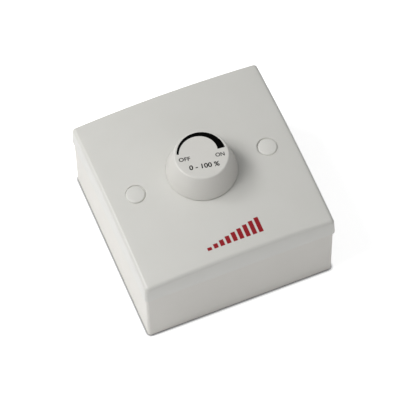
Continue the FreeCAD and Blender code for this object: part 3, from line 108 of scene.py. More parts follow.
# %% [markdown]
# ## Helpers for meshes
#
# Moulded pieces are smooth skins with soft edges. One way to get them is a low mesh and a
# subdivision modifier, but then sizes drift. Here each skin is woven from rings of exact points
# instead, so that a radius of 3 mm is 3 mm, and only the shading is smoothed. Edges sharper than
# a set angle stay crisp.

# %% Rings, skins and turned solids
SHARP_ANGLE = math.radians(32)


def add_object(name, mesh):
    """Put a mesh into the scene under a name."""
    thing = bpy.data.objects.new(name, mesh)
    bpy.context.scene.collection.objects.link(thing)
    return thing


def smooth(mesh):
    """Shade a mesh smoothly, except across its sharp edges."""
    work = bmesh.new()
    work.from_mesh(mesh)
    for face in work.faces:
        face.smooth = True
    for edge in work.edges:
        edge.smooth = len(edge.link_faces) == 2 and edge.calc_face_angle(0) < SHARP_ANGLE
    work.to_mesh(mesh)
    work.free()


def skin(name, rings):
    """Weave a closed solid from rings of equal length, lowest first, with a fan at each end."""
    work = bmesh.new()
    rows = [[work.verts.new(point) for point in ring] for ring in rings]
    count = len(rows[0])
    for low, high in zip(rows, rows[1:]):
        for i in range(count):
            j = (i + 1) % count
            work.faces.new((low[i], low[j], high[j], high[i]))
    for row, order in ((rows[0], -1), (rows[-1], 1)):
        middle = work.verts.new(sum((v.co for v in row), Vector()) / count)
        for i in range(count):
            pair = (row[i], row[(i + 1) % count])[::order]
            work.faces.new((*pair, middle))
    mesh = bpy.data.meshes.new(name)
    work.to_mesh(mesh)
    work.free()
    smooth(mesh)
    return add_object(name, mesh)


def turned(name, profile, steps, centre=(0, 0)):
    """Turn a profile of (radius, height) points round a vertical axis, in equal steps."""
    turns = [2 * math.pi * i / steps for i in range(steps)]
    rings = []
    for radius, height in profile:
        rings.append([
            Vector((centre[0] + radius * math.cos(t), centre[1] + radius * math.sin(t), height))
            for t in turns])
    return skin(name, rings)


def arc(centre, radius, start, end, steps):
    """List the points of an arc in a profile, from one angle to another in degrees."""
    turns = [math.radians(start + (end - start) * i / steps) for i in range(steps + 1)]
    return [(centre[0] + radius * math.cos(t), centre[1] + radius * math.sin(t)) for t in turns]


# %% [markdown]
# Holes and hollows are the same on the smooth piece as on the CAD node. So the smooth skin is
# made as a full block a few hundredths of a millimetre inside the node's own outside, and the two
# are intersected: the outside then comes from the skin and everything inside from the node. A
# block or a tool reaches a little past the place where it is to end, so that no two faces lie in
# one plane there.

# %% Booleans
SKIN_GAP = 0.04 * MM
SPARE = 1 * MM


def combine(target, tool, operation):
    """Cut or intersect one solid with another and keep only the result."""
    modifier = target.modifiers.new(operation, "BOOLEAN")
    modifier.operation = operation
    modifier.solver = "EXACT"
    modifier.object = tool
    graph = bpy.context.evaluated_depsgraph_get()
    mesh = bpy.data.meshes.new_from_object(target.evaluated_get(graph))
    target.modifiers.clear()
    target.data = mesh
    bpy.data.objects.remove(tool)


def inside_of(node, block):
    """Give the block the node's hollows by intersecting the two."""
    copy = add_object("copy", NODES[node].data.copy())
    combine(block, copy, "INTERSECT")
    block.data.materials.clear()
    smooth(block.data)
    print(block.name, "vertices", len(block.data.vertices), "faces", len(block.data.polygons))


# %% [markdown]
# ## The front plate
#
# The plate is compression moulded. Its sides lean in by 2.5 degrees so that it leaves the mould,
# its front is part of a large sphere, and the edge between the two is rounded. The rings run from
# the skirt up the side, round the edge and over the crown, where their corners grow rounder
# towards the middle. Round each screw cap the mould leaves a fine rolled lip, which is cut here
# with a small flared tool.

# %% Sizes of the plate
PLATE_LOW, PLATE_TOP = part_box("surface_box")[1].z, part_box("front_plate")[1].z
PLATE_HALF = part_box("front_plate")[1].x
PLATE_DRAFT = math.radians(2.5)
PLATE_CORNER = 1.6 * MM
LEAST_CORNER = 0.5 * MM
PLATE_EDGE = 1.6 * MM
EDGE_TURN = 9  # degrees of the rounded edge from one ring to the next
SKIRT_EDGE, SKIRT_EASE = 0.35 * MM, 0.1 * MM
DOME_RADIUS = 400 * MM
SIDE_STEPS, CORNER_STEPS = 20, 10
CROWN_STEPS = 20
CROWN_CORNER, CROWN_ROUNDING = 0.1, 0.6  # a corner's share of the half width, and its growth

CAP_X = (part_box("screw_cap_right")[0].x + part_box("screw_cap_right")[1].x) / 2
CAP_RADIUS = (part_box("screw_cap_right")[1].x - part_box("screw_cap_right")[0].x) / 2
CAP_GAP = 0.35 * MM
CAP_STEPS = 96
LIP_FLARE, LIP_STEPS = 0.25 * MM, 6
LIP_DEPTH = 3 * LIP_FLARE
print("plate half width %.2f mm, cap radius %.2f mm" % (PLATE_HALF / MM, CAP_RADIUS / MM))


# %% Plate
def crown(x, y):
    """Give the height of the crowned front at a place."""
    return PLATE_TOP - SKIN_GAP - DOME_RADIUS + math.sqrt(DOME_RADIUS ** 2 - x * x - y * y)


def square_ring(half, corner):
    """List the points of a rounded square, anticlockwise."""
    ring = []
    reach = half - corner
    for quarter in range(4):
        turn = Matrix.Rotation(quarter * math.pi / 2, 2)
        for i in range(CORNER_STEPS + 1):
            t = math.pi / 2 * i / CORNER_STEPS
            ring.append(turn @ Vector((reach + corner * math.cos(t), reach + corner * math.sin(t))))
        for i in range(1, SIDE_STEPS):
            ring.append(turn @ Vector((reach - 2 * reach * i / SIDE_STEPS, half)))
    return ring


def plate_block():
    """Weave the plate's outside as a full block."""
    wide = PLATE_HALF - SKIN_GAP / 2
    lean = math.tan(PLATE_DRAFT)
    skirt = ((-2 * SPARE, SKIRT_EDGE), (0, SKIRT_EDGE), (SKIRT_EASE, SKIRT_EASE), (SKIRT_EDGE, 0))
    rings = []
    for rise, inset in skirt:
        ring = square_ring(wide - inset - lean * max(rise, 0), PLATE_CORNER - inset)
        rings.append([Vector((x, y, PLATE_LOW + rise)) for x, y in ring])
    for angle in range(90, -1, -EDGE_TURN):
        inset = PLATE_EDGE * (1 - math.sin(math.radians(angle)))
        sink = PLATE_EDGE * (1 - math.cos(math.radians(angle)))
        rise = crown(wide, 0) - sink - PLATE_LOW
        ring = square_ring(wide - inset - lean * rise, max(PLATE_CORNER - inset, LEAST_CORNER))
        rings.append([Vector((x, y, crown(x, y) - sink)) for x, y in ring])
    start = wide - PLATE_EDGE - lean * (crown(wide, 0) - PLATE_LOW)
    for step in range(1, CROWN_STEPS):
        half = start * (1 - step / CROWN_STEPS)
        ring = square_ring(half, half * (CROWN_CORNER + CROWN_ROUNDING * step / CROWN_STEPS))
        rings.append([Vector((x, y, crown(x, y))) for x, y in ring])
    return skin("plate_moulding", rings)


def lip_cutter(x, radius):
    """Make the flared tool that rolls the edge of a round opening in the crown."""
    level = crown(x, 0)
    wide = radius + LIP_FLARE
    profile = [(radius, level - LIP_DEPTH)]
    profile += arc((wide, level - LIP_FLARE), LIP_FLARE, 180, 90, LIP_STEPS)
    profile.append((wide, level + SPARE))
    return turned("cutter", profile, CAP_STEPS, (x, 0))


plate = plate_block()
for side in (-1, 1):
    combine(plate, lip_cutter(side * CAP_X, CAP_RADIUS + CAP_GAP), "DIFFERENCE")
inside_of("front_plate", plate)
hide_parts("front_plate")
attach(plate, "housing")
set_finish(plate, "white_moulding")

# %% [markdown]
# ## The screw caps
#
# Each cap is a thin moulded disc that snaps into the plate over its screw. The disc is almost
# flush, with a rolled edge, and a trace of crown so that it catches the light differently from
# the plate. A rim under the rolled edge fills the opening, so the line round the cap is a shallow
# groove. It is turned from a profile, as the mould's insert is.

# %% Caps
CAP_THICKNESS = 1.5 * MM
STEM_RADIUS = 3.8 * MM
STEM_LEAD_IN, STEM_LEAD_UP = 0.4 * MM, 0.3 * MM
RIM_PLAY, RIM_BEVEL = 0.06 * MM, 0.1 * MM
CAP_GROOVE = 0.65 * MM
CAP_ROLL, ROLL_END, ROLL_STEPS = 0.70 * MM, 82, 8
CAP_CROWN, CAP_RINGS = 0.22 * MM, 8


def make_cap(name, node, body):
    """Turn one cap with its stem, hidden rim, rolled edge and crown."""
    low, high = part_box(node)
    x = (low.x + high.x) / 2
    seat = high.z - CAP_THICKNESS
    top = high.z - CAP_CROWN
    rim = CAP_RADIUS + CAP_GAP - RIM_PLAY
    flat = CAP_RADIUS - CAP_ROLL
    start = math.degrees(math.asin(1 - CAP_GROOVE / CAP_ROLL))
    profile = [(STEM_RADIUS - STEM_LEAD_IN, low.z), (STEM_RADIUS, low.z + STEM_LEAD_UP)]
    profile += [(STEM_RADIUS, seat), (rim - RIM_BEVEL, seat)]
    profile += [(rim, seat + RIM_BEVEL), (rim, top - CAP_GROOVE)]
    profile += arc((flat, top - CAP_ROLL), CAP_ROLL, start, ROLL_END, ROLL_STEPS)
    for step in range(1, CAP_RINGS):
        share = 1 - step / CAP_RINGS
        profile.append((flat * share, top + CAP_CROWN * (1 - share ** 2)))
    cap = turned(name, profile, CAP_STEPS, (x, 0))
    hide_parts(node)
    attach(cap, body)
    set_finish(cap, "cap_moulding")
    return cap


caps = [make_cap("cap_left", "screw_cap_left", "left_cap"),
        make_cap("cap_right", "screw_cap_right", "right_cap")]
print("caps at x", [round(side * CAP_X / MM, 2) for side in (-1, 1)])

# %% [markdown]
# ## The knob
#
# The knob is a tapered ABS cup with a flat top. Its skirt nearly touches the plate, so its lower
# edge is crisp, while the upper edge is rounded for the fingers. The cup's ribs, hub and D bore
# come from the node. The flat top lies a hair under the node's, so that the print on it stays
# within the node's height.

# %% Knob
KNOB_LOW, KNOB_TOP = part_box("knob")[0].z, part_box("knob")[1].z
KNOB_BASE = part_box("knob")[1].x
KNOB_FACE = 11.65 * MM
KNOB_EDGE, KNOB_EDGE_STEPS = 0.85 * MM, 10
KNOB_FOOT, FOOT_EASE = 0.3 * MM, 0.3
KNOB_STEPS = 160
QUARTERS = (0.25, 0.5, 0.75)
INK = 0.02 * MM
KNOB_FLAT = KNOB_TOP - 1.5 * INK


def knob_block():
    """Turn the knob's outside as a full block."""
    slope = math.atan((KNOB_BASE - KNOB_FACE) / (KNOB_TOP - KNOB_LOW))
    base, face = KNOB_BASE - SKIN_GAP, KNOB_FACE - SKIN_GAP
    middle = (face - KNOB_EDGE * math.tan((math.pi / 2 - slope) / 2), KNOB_FLAT - KNOB_EDGE)
    foot = (base - math.tan(slope) * KNOB_FOOT, KNOB_LOW + KNOB_FOOT)
    edge = arc(middle, KNOB_EDGE, math.degrees(slope), 90, KNOB_EDGE_STEPS)
    profile = [(base - KNOB_FOOT, KNOB_LOW - SPARE), (base - KNOB_FOOT, KNOB_LOW)]
    profile += [(base - FOOT_EASE * KNOB_FOOT, KNOB_LOW + FOOT_EASE * KNOB_FOOT), foot]
    profile += [tuple(a + (b - a) * share for a, b in zip(foot, edge[0])) for share in QUARTERS]
    profile += edge
    profile += [(middle[0] * share, KNOB_FLAT) for share in reversed(QUARTERS)]
    return turned("knob_cup", profile, KNOB_STEPS)


knob = knob_block()
inside_of("knob", knob)
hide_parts("knob")
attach(knob, "knob")
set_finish(knob, "knob_moulding")

# %% [markdown]
# ## The printing
#
# The knob's top is pad printed in black: a band that widens from off to full, the two end words
# and a plain scale. The front of the plate carries a plain row of bars in red that grow from left
# to right. Printing ink lies on the plastic as a film of some hundredths of a millimetre, so each
# mark is a thin solid that follows the surface under it. Its back lies in the plastic, so that no
# light shows under it.

# %% Print helpers
PRINT_TURN = math.radians(-11.9)
FILM_LIFTS = (-INK / 2, INK)
LETTER_LEVEL, LETTER_HALF = KNOB_TOP - 1.25 * INK, 0.75 * INK


def film(name, outlines, height):
    """Raise closed outlines into a thin film whose top lies one ink thickness over the surface."""
    work = bmesh.new()
    for outline in outlines:
        rows = [[work.verts.new((x, y, height(x, y) + lift)) for x, y in outline]
                for lift in FILM_LIFTS]
        for i in range(len(outline)):
            j = (i + 1) % len(outline)
            work.faces.new((rows[0][i], rows[0][j], rows[1][j], rows[1][i]))
        half = len(outline) // 2
        for row, order in ((rows[0], -1), (rows[1], 1)):
            for i in range(half - 1):
                quad = (row[i], row[i + 1], row[-2 - i], row[-1 - i])[::order]
                work.faces.new(quad)
    bmesh.ops.recalc_face_normals(work, faces=work.faces)
    mesh = bpy.data.meshes.new(name)
    work.to_mesh(mesh)
    work.free()
    return add_object(name, mesh)


def letters(name, text, size, place, stretch, weight):
    """Set plain letters on the knob's top, turned with the print."""
    data = bpy.data.curves.new(name, "FONT")
    data.body = text
    data.size = size
    data.align_x = "CENTER"
    data.align_y = "CENTER"
    data.extrude = LETTER_HALF
    data.offset = weight
    data.resolution_u = 6
    words = bpy.data.objects.new(name + "_curve", data)
    bpy.context.scene.collection.objects.link(words)
    turn = Matrix.Rotation(PRINT_TURN, 4, "Z")
    shift = Matrix.Translation((*place, LETTER_LEVEL))
    words.matrix_world = turn @ shift @ Matrix.Diagonal((stretch, 1, 1, 1))
    bpy.context.view_layer.update()
    graph = bpy.context.evaluated_depsgraph_get()
    mesh = bpy.data.meshes.new_from_object(words.evaluated_get(graph))
    mesh.transform(words.matrix_world)
    bpy.data.objects.remove(words)
    return add_object(name, mesh)


# %% Knob print
BAND_START, BAND_END = math.radians(173.5), math.radians(6.6)
BAND_OUTER, BAND_RISE = 10.32 * MM, 0.62 * MM
BAND_THIN, BAND_THICK = 0.90 * MM, 3.15 * MM
BAND_GROWTH, BAND_STEPS = 1.25, 48


def knob_surface(x, y):
    """Give the height of the knob's flat top, which is the same at every place."""
    return KNOB_FLAT


def band_outline():
    """Draw the widening band: a round outer line, and an inner line that moves away from it."""
    outer, inner = [], []
    for i in range(BAND_STEPS + 1):
        share = i / BAND_STEPS
        turn = BAND_START + (BAND_END - BAND_START) * share
        width = BAND_THIN + (BAND_THICK - BAND_THIN) * share ** BAND_GROWTH
        for line, radius in ((outer, BAND_OUTER), (inner, BAND_OUTER - width)):
            mark = Vector((radius * math.cos(turn), radius * math.sin(turn) + BAND_RISE))
            line.append(Matrix.Rotation(PRINT_TURN, 2) @ mark)
    return outer + inner[::-1]


# Each row of letters has its size, place, stretch along the line and extra weight.
knob_print = [
    film("print_band", [band_outline()], knob_surface),
    letters("print_off", "OFF", 2.55 * MM, (-7.45 * MM, -1.08 * MM), 1.10, 0.04 * MM),
    letters("print_on", "ON", 2.55 * MM, (7.65 * MM, -1.38 * MM), 1.0, 0.04 * MM),
    letters("print_scale", "0 - 100 %", 3.1 * MM, (0.2 * MM, -5.60 * MM), 1.08, 0.07 * MM),
]
for mark in knob_print:
    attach(mark, "knob")
print("knob print", [mark.name for mark in knob_print])

# %% Plate print
BAR_COUNT, BAR_STEPS = 9, 6
BAR_PITCH, BAR_WIDTH = 2.9 * MM, 1.9 * MM
BAR_LOW, BAR_LEFT = -36.6 * MM, -12.2 * MM
BAR_SHORT, BAR_TALL = 1.4 * MM, 7.0 * MM


def bar_outline(number):
    """Outline one upright bar of the level mark, in small steps so that it follows the crown."""
    left = BAR_LEFT + number * BAR_PITCH
    tall = BAR_SHORT + (BAR_TALL - BAR_SHORT) * number / (BAR_COUNT - 1)
    rise = [BAR_LOW + tall * i / BAR_STEPS for i in range(BAR_STEPS + 1)]
    return [(left, y) for y in rise] + [(left + BAR_WIDTH, y) for y in reversed(rise)]


level_mark = film("print_level_bars", [bar_outline(i) for i in range(BAR_COUNT)], crown)
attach(level_mark, "housing")
print("plate print", level_mark.name, "with", BAR_COUNT, "bars")

# %% [markdown]
# ## Helpers for materials
#
# Colours are written as sRGB hex values, as a colour picker shows them, and one function turns
# them to the linear numbers that the renderer works with. One more function adds a node: an
# input that is given a socket is linked to it, and any other value is simply set.

# %% Material helpers
def linear(code):
    """Turn an sRGB hex colour into linear red, green, blue and alpha."""
    parts = [int(code[i:i + 2], 16) / 255 for i in (1, 3, 5)]
    return [c / 12.92 if c <= 0.04045 else ((c + 0.055) / 1.055) ** 2.4 for c in parts] + [1.0]


def add_node(tree, kind, inputs=(), **settings):
    """Add a node with its settings; sockets among the inputs are linked, other values are set."""
    node = tree.nodes.new(kind)
    for name, value in settings.items():
        setattr(node, name, value)
    for name, value in dict(inputs).items():
        if isinstance(value, bpy.types.NodeSocket):
            tree.links.new(value, node.inputs[name])
        else:
            node.inputs[name].default_value = value
    return node


def per(size_mm):
    """Give a texture scale at which one feature has this size in millimetres."""
    return 1 / (size_mm * MM)


def start_finish(name, **values):
    """Begin a material and set what is the same all over on its shader."""
    material = bpy.data.materials.new(name)
    material.use_nodes = True
    tree = material.node_tree
    shader = tree.nodes["Principled BSDF"]
    for key, value in values.items():
        shader.inputs[key.replace("_", " ")].default_value = value
    place = add_node(tree, "ShaderNodeTexCoord").outputs["Object"]
    return material, tree, shader, place


# %% [markdown]
# ## One recipe for many surfaces
#
# Most surfaces here differ in the same few ways: two near shades in clouds, a roughness that
# varies in patches, and a relief that comes from the mould, the tool or the grinding. So one
# recipe takes these as arguments. The relief is noise in the piece's own coordinates, stretched
# where a tool has drawn it out into lines, and its depth is given in real millimetres.

# %% Surface recipe
MIX_FACTOR, MIX_A, MIX_B, MIX_RESULT = 0, 6, 7, 2  # the mix node's sockets for colours
CLOUD_DETAIL, FINE_DETAIL = 3.0, 2.0
PATCHES_IN_CLOUD = 4
GLOSS_SPREAD = 0.06


def surface(name, light, dark, rough, cloud, grain, depth, stretch=(1, 1, 1), **values):
    """Make a finish from two shades, a roughness and a relief; sizes are in millimetres."""
    material, tree, shader, place = start_finish(name, **values)
    clouds = add_node(tree, "ShaderNodeTexNoise", {
        "Vector": place, "Scale": per(cloud), "Detail": CLOUD_DETAIL})
    shade = add_node(tree, "ShaderNodeMix", {
        MIX_FACTOR: clouds.outputs["Fac"], MIX_A: linear(dark), MIX_B: linear(light)},
        data_type="RGBA")
    tree.links.new(shade.outputs[MIX_RESULT], shader.inputs["Base Color"])
    patches = add_node(tree, "ShaderNodeTexNoise", {
        "Vector": place, "Scale": per(cloud / PATCHES_IN_CLOUD), "Detail": FINE_DETAIL})
    gloss = add_node(tree, "ShaderNodeMapRange", {
        "Value": patches.outputs["Fac"],
        "To Min": rough - GLOSS_SPREAD, "To Max": rough + GLOSS_SPREAD})
    tree.links.new(gloss.outputs["Result"], shader.inputs["Roughness"])
    drawn = add_node(tree, "ShaderNodeMapping", {"Vector": place, "Scale": stretch})
    grains = add_node(tree, "ShaderNodeTexNoise", {
        "Vector": drawn.outputs["Vector"], "Scale": per(grain), "Detail": FINE_DETAIL})
    relief = add_node(tree, "ShaderNodeBump", {
        "Height": grains.outputs["Fac"], "Distance": depth * MM, "Strength": 1.0})
    tree.links.new(relief.outputs["Normal"], shader.inputs["Normal"])
    return material


# %% [markdown]
# ## Moulded plastics
#
# The plate and box are urea, a hard plastic pressed in a hot steel mould. It takes the mould's
# fine satin, so its gloss is soft, and the powder that it is pressed from leaves faint clouds of
# about a centimetre. The knob and caps are ABS, which is injected: the same satin, a little
# finer. A third of a millimetre is coarser than real satin, but it is the finest that shows here.
# Inside, the terminal block, the rotor and the switch deck are nylon, black with carbon, and the
# tray is grey nylon.

# %% Plastics
# The numbers are the roughness, then the sizes of clouds and grain and the depth of the relief.
UREA_IOR, ABS_IOR, NYLON_IOR, EPOXY_IOR, SILICONE_IOR = 1.56, 1.54, 1.53, 1.55, 1.41

finishes = {
    "white_moulding": surface(
        "urea_pressed_satin", "#DDDCD7", "#D9D8D2", 0.38, 11, 0.33, 0.0016, IOR=UREA_IOR),
    # The box comes from its own mould: a shade lighter and warmer, and a little duller.
    "box_moulding": surface(
        "urea_box_satin", "#E3E0DA", "#DEDBD4", 0.44, 14, 0.36, 0.0022, IOR=UREA_IOR),
    "knob_moulding": surface(
        "abs_knob_satin", "#DFDDD8", "#DCDAD4", 0.36, 8, 0.30, 0.0014, IOR=ABS_IOR),
    "cap_moulding": surface(
        "abs_cap_satin", "#E0DFDA", "#DDDCD6", 0.34, 6, 0.30, 0.0012, IOR=ABS_IOR),
    # Glass fibre in injected nylon leaves a rougher, duller skin than ABS has.
    "black_moulding": surface(
        "nylon_black_moulded", "#1C1C1D", "#141415", 0.52, 5, 0.28, 0.006, IOR=NYLON_IOR),
    "grey_moulding": surface(
        "nylon_grey_moulded", "#7C7F80", "#727576", 0.50, 7, 0.30, 0.006, IOR=NYLON_IOR),
    # The film capacitor is dipped in epoxy, which sets as a glossy coat with soft waves.
    "film_box": surface(
        "epoxy_dipped_red", "#9C2A22", "#8A231D", 0.34, 3, 0.50, 0.010, IOR=EPOXY_IOR),
    # The pads under the transistors are cut from rolled silicone sheet, which is quite dull.
    "pad_silicone": surface(
        "silicone_sheet_grey", "#8B8C8E", "#7F8082", 0.68, 3, 0.25, 0.010, IOR=SILICONE_IOR),
}
print("plastics", sorted(finishes))

# %% [markdown]
# ## Metals
#
# A metal keeps the default IOR, and its colour is its reflection. How it was worked shows in its
# relief. Turned brass has fine rings about its axis, so its noise is stretched across the axis.
# Rolled aluminium sheet has lines along the rolling direction. Zinc plating is even and a little
# cloudy, spring steel is polished by drawing, and die-cast zinc has the pebbled skin of its mould.
# The choke's core is ferrite, a nearly black fired ceramic that grinding leaves half dull.

# %% Metals and ferrite
TURNED = (0.15, 0.15, 3.0)
ROLLED = (0.12, 2.5, 2.5)
FERRITE_IOR = 2.2

metals = {
    "brass": surface(
        "brass_turned", "#D9BE7C", "#CBAE68", 0.28, 4, 0.30, 0.004, TURNED, Metallic=1.0),
    "plated_steel": surface(
        "steel_zinc_plated", "#C6C9CC", "#B4B8BC", 0.32, 3, 0.40, 0.003, Metallic=1.0),
    "spring_steel": surface(
        "steel_spring_drawn", "#A9A9AB", "#98989B", 0.22, 3, 0.25, 0.002, ROLLED, Metallic=1.0),
    "die_cast": surface(
        "zinc_die_cast", "#B3B4B6", "#A2A3A6", 0.40, 3, 0.45, 0.010, Metallic=1.0),
    "aluminium": surface(
        "aluminium_mill_rolled", "#D2D4D6", "#C3C6C9", 0.34, 6, 0.28, 0.003, ROLLED,
        Metallic=1.0),
    "ferrite": surface(
        "ferrite_ground", "#2E2E31", "#232326", 0.46, 3, 0.20, 0.008, IOR=FERRITE_IOR),
}
finishes.update(metals)
print("metals and ferrite", sorted(metals))

# %% [markdown]
# ## Laminates and the choke's wire
#
# The circuit board is glass cloth in epoxy under green solder mask: its weave, about half a
# millimetre a thread, prints through as a faint grid. The track of the potentiometer sits on
# brown paper laminate, which is finer. The choke is wound with enamelled copper, and its turns
# make even ridges that are half a millimetre apart. All three are regular, so they use waves and
# not noise: two crossed sets for a weave, and one set for the turns.

# %% Waves
WAVE_AT_ONE = 0.314  # the wave texture's spacing at a scale of 1
PAPER_IOR = 1.55


def ridged(material, spacing, depth, axes):
    """Put sets of even ridges on a finish, one set for each axis named."""
    tree = material.node_tree
    shader = tree.nodes["Principled BSDF"]
    place = add_node(tree, "ShaderNodeTexCoord").outputs["Object"]
    height = None
    for axis in axes:
        wave = add_node(tree, "ShaderNodeTexWave", {
            "Vector": place, "Scale": per(spacing) * WAVE_AT_ONE},
            wave_type="BANDS", bands_direction=axis).outputs["Fac"]
        height = wave if height is None else add_node(tree, "ShaderNodeMath", {
            0: height, 1: wave}, operation="MAXIMUM").outputs["Value"]
    relief = add_node(tree, "ShaderNodeBump", {
        "Height": height, "Distance": depth * MM, "Strength": 1.0})
    tree.links.new(relief.outputs["Normal"], shader.inputs["Normal"])
    return material


board = surface("glass_epoxy_green", "#1E6B3C", "#195C33", 0.32, 5, 0.5, 0.004, IOR=EPOXY_IOR)
track = surface("paper_phenolic_brown", "#6B4A33", "#5C3E2A", 0.50, 4, 0.4, 0.004, IOR=PAPER_IOR)
wire = surface("copper_enamelled_wound", "#B8622F", "#A15224", 0.30, 2, 0.5, 0.004, Metallic=1.0)
finishes["board_laminate"] = ridged(board, 0.5, 0.006, "XY")
finishes["track_laminate"] = ridged(track, 0.3, 0.003, "XY")
finishes["copper_wire"] = ridged(wire, 0.5, 0.10, "Z")
print("ridged", [material.name for material in (board, track, wire)])

# %% [markdown]
# ## Parts with two finishes
#
# Some parts are of two stuffs though they are one node. The capacitor is an aluminium can in a
# blue shrink sleeve that leaves the top bare. The fuse is a ceramic tube with metal end caps, the
# chips are black with tinned legs and tabs, and the resistors carry colour bands. Each is one
# finish whose colour changes where a coordinate of the piece is past a line or inside a band, so
# the change is crisp and stays with the part.

# %% Masks and repainting
TINNED = "#C9CBCD"


def band(tree, axis, middle, width):
    """Give 1 inside a band across one coordinate of the piece, and 0 outside it."""
    place = add_node(tree, "ShaderNodeTexCoord").outputs["Object"]
    here = add_node(tree, "ShaderNodeSeparateXYZ", {"Vector": place}).outputs[axis]
    return add_node(tree, "ShaderNodeMath", {
        0: here, 1: middle, 2: width / 2}, operation="COMPARE").outputs["Value"]


def repaint(material, mask, code):
    """Change the colour where a mask is 1."""
    tree = material.node_tree
    shader = tree.nodes["Principled BSDF"]
    before = shader.inputs["Base Color"].links[0].from_socket
    shade = add_node(tree, "ShaderNodeMix", {
        MIX_FACTOR: mask, MIX_A: before, MIX_B: linear(code)}, data_type="RGBA")
    tree.links.new(shade.outputs[MIX_RESULT], shader.inputs["Base Color"])


def tin_outside(material, axis, low, high):
    """Make the piece tinned metal where a coordinate is outside a range."""
    tree = material.node_tree
    inside = band(tree, axis, (low + high) / 2, high - low)
    mask = add_node(tree, "ShaderNodeMath", {
        0: 1.0, 1: inside}, operation="SUBTRACT").outputs["Value"]
    repaint(material, mask, TINNED)
    tree.links.new(mask, tree.nodes["Principled BSDF"].inputs["Metallic"])


# %% Capacitor, fuse, chips and resistors
SLEEVE_IOR, CERAMIC_IOR = 1.53, 1.55
SLEEVE_EDGE = 0.3 * MM
FUSE_CAP, FUSE_WIRES = 1.6 * MM, 0.8 * MM
CHIP_CASE, TAB_LENGTH, TRANSISTOR_LENGTH = 6.4 * MM, 6.4 * MM, 9.2 * MM
BAND_CODES = ("#7A4A22", "#1A1A1A", "#C8661C", "#C2A04A")
BAND_WIDTH = 0.55 * MM
BAND_PLACES = (0.16, 0.35, 0.54, 0.81)  # shares of the resistor's length; the last stands apart

sleeve = surface("vinyl_sleeve_blue", "#1F3F86", "#1A3675", 0.30, 4, 0.5, 0.004, IOR=SLEEVE_IOR)
low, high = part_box("reservoir_capacitor")
tin_outside(sleeve, "Z", low.z, high.z - SLEEVE_EDGE)
finishes["blue_sleeve"] = sleeve

low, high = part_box("fuse")
fuse = surface("ceramic_glazed_white", "#D8D4C8", "#CCC7B9", 0.30, 2, 0.4, 0.004, IOR=CERAMIC_IOR)
inset = FUSE_CAP + FUSE_WIRES
tin_outside(fuse, "Y", low.y + inset, high.y - inset)

low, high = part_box("control_chip")
chip = surface("epoxy_chip_black", "#1B1B1C", "#151516", 0.48, 2, 0.2, 0.005, IOR=EPOXY_IOR)
middle = (low.y + high.y) / 2
tin_outside(chip, "Y", middle - CHIP_CASE / 2, middle + CHIP_CASE / 2)

case_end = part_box("power_transistors")[1].y - TAB_LENGTH
power = surface("epoxy_power_black", "#1A1A1B", "#141415", 0.50, 3, 0.25, 0.006, IOR=EPOXY_IOR)
tin_outside(power, "Y", case_end - TRANSISTOR_LENGTH, case_end)

low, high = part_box("resistors")
banded = surface(
    "ceramic_lacquered_banded", "#CDB98C", "#C2AD7E", 0.36, 2, 0.3, 0.006, IOR=CERAMIC_IOR)
for share, code in zip(BAND_PLACES, BAND_CODES):
    where = low.y + (high.y - low.y) * share
    repaint(banded, band(banded.node_tree, "Y", where, BAND_WIDTH), code)

by_node = {"fuse": fuse, "control_chip": chip, "power_transistors": power, "resistors": banded}
print("parts with a finish of their own", sorted(by_node))

# %% [markdown]
# ## Printing inks
#
# Pad printing leaves a thin film of ink that is duller than the satin plastic round it. Black
# takes its depth from carbon. The red is a deep signal red.

# %% Inks
INK_IOR = 1.5

ink_black = surface(
    "ink_black_printed", "#040404", "#020202", 0.85, 3, 0.20, 0.002,
    IOR=INK_IOR, Specular_IOR_Level=0.05)
ink_red = surface(
    "ink_red_printed", "#9E1420", "#93111C", 0.60, 3, 0.20, 0.002,
    IOR=INK_IOR, Specular_IOR_Level=0.3)
print("inks", ink_black.name, ink_red.name)

# %% [markdown]
# ## Dress the pieces
#
# The record says which finish each node takes, so the nodes are dressed from it in one loop, and
# the smooth pieces take the finish of the node that they stand for.

# %% Dress
def dress(thing, material):
    """Give a piece one finish all over."""
    if not thing.material_slots:
        thing.data.materials.append(material)
    for place in thing.material_slots:
        place.material = material


for row in frame["record"]["subparts"]:
    node = row["node"]
    dress(NODES[node], by_node[node] if node in by_node else finishes[row["material_slot"]])
for thing in [plate, knob, *caps]:
    dress(thing, finishes[thing["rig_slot"]])
for mark in knob_print:
    dress(mark, ink_black)
dress(level_mark, ink_red)
print("finishes", sorted(material.name for material in finishes.values()))

# %% [markdown]
# ## Floor, backdrop and light
#
# The photograph has a white ground, soft light from the left and little light from the front, so
# the left side is the brightest and the front side the darkest. A large soft lamp on the left and
# a smaller one at the upper left make the knob's shadow, and a weak one fills in from the front.
# The world adds an even light that is weaker at the left and the right, as where dark boards
# stand beside the table, so that steep faces on those sides keep their depth.
#
# The floor is pale and takes the object's shadow. Its whiteness to the eye of the camera comes
# from its own material, not from more light, so that the object isn't washed out. Within a
# millimetre of the object that whiteness gives way to a painted shade, a dark colour painted into
# the floor, which draws the dark line where the box meets the floor.

# %% Sizes and levels of the studio
FLOOR_HALF, FLOOR_SQUARES, FLOOR_DROP = 3.0, 8, 0.05 * MM
# The second colour is the painted shade of the floor beside the object, a painted contact shadow;
# the reach and depth below set how far and how dark it spreads.
FLOOR_COLOUR, PAINTED_SHADE_COLOUR, SKY_COLOUR = "#E8E8E8", "#2A2A30", "#FDFEFF"
FLOOR_GLOW = 0.72
PAINTED_SHADE_REACH, PAINTED_SHADE_DEPTH = 1.3 * MM, 2.5
WORLD_LIGHT, DARK_SIDES = 0.42, 0.11

# Each lamp has its azimuth and elevation in degrees, distance and size in metres, and watts.
LAMPS = (
    ("window_left", 172, 54, 1.2, 0.50, 6.2),
    ("lamp_upper_left", 140, 45, 1.2, 0.3, 3.2),
    ("fill_front", 270, 30, 1.3, 0.9, 1.5),
)
print("lamps", [lamp[0] for lamp in LAMPS])


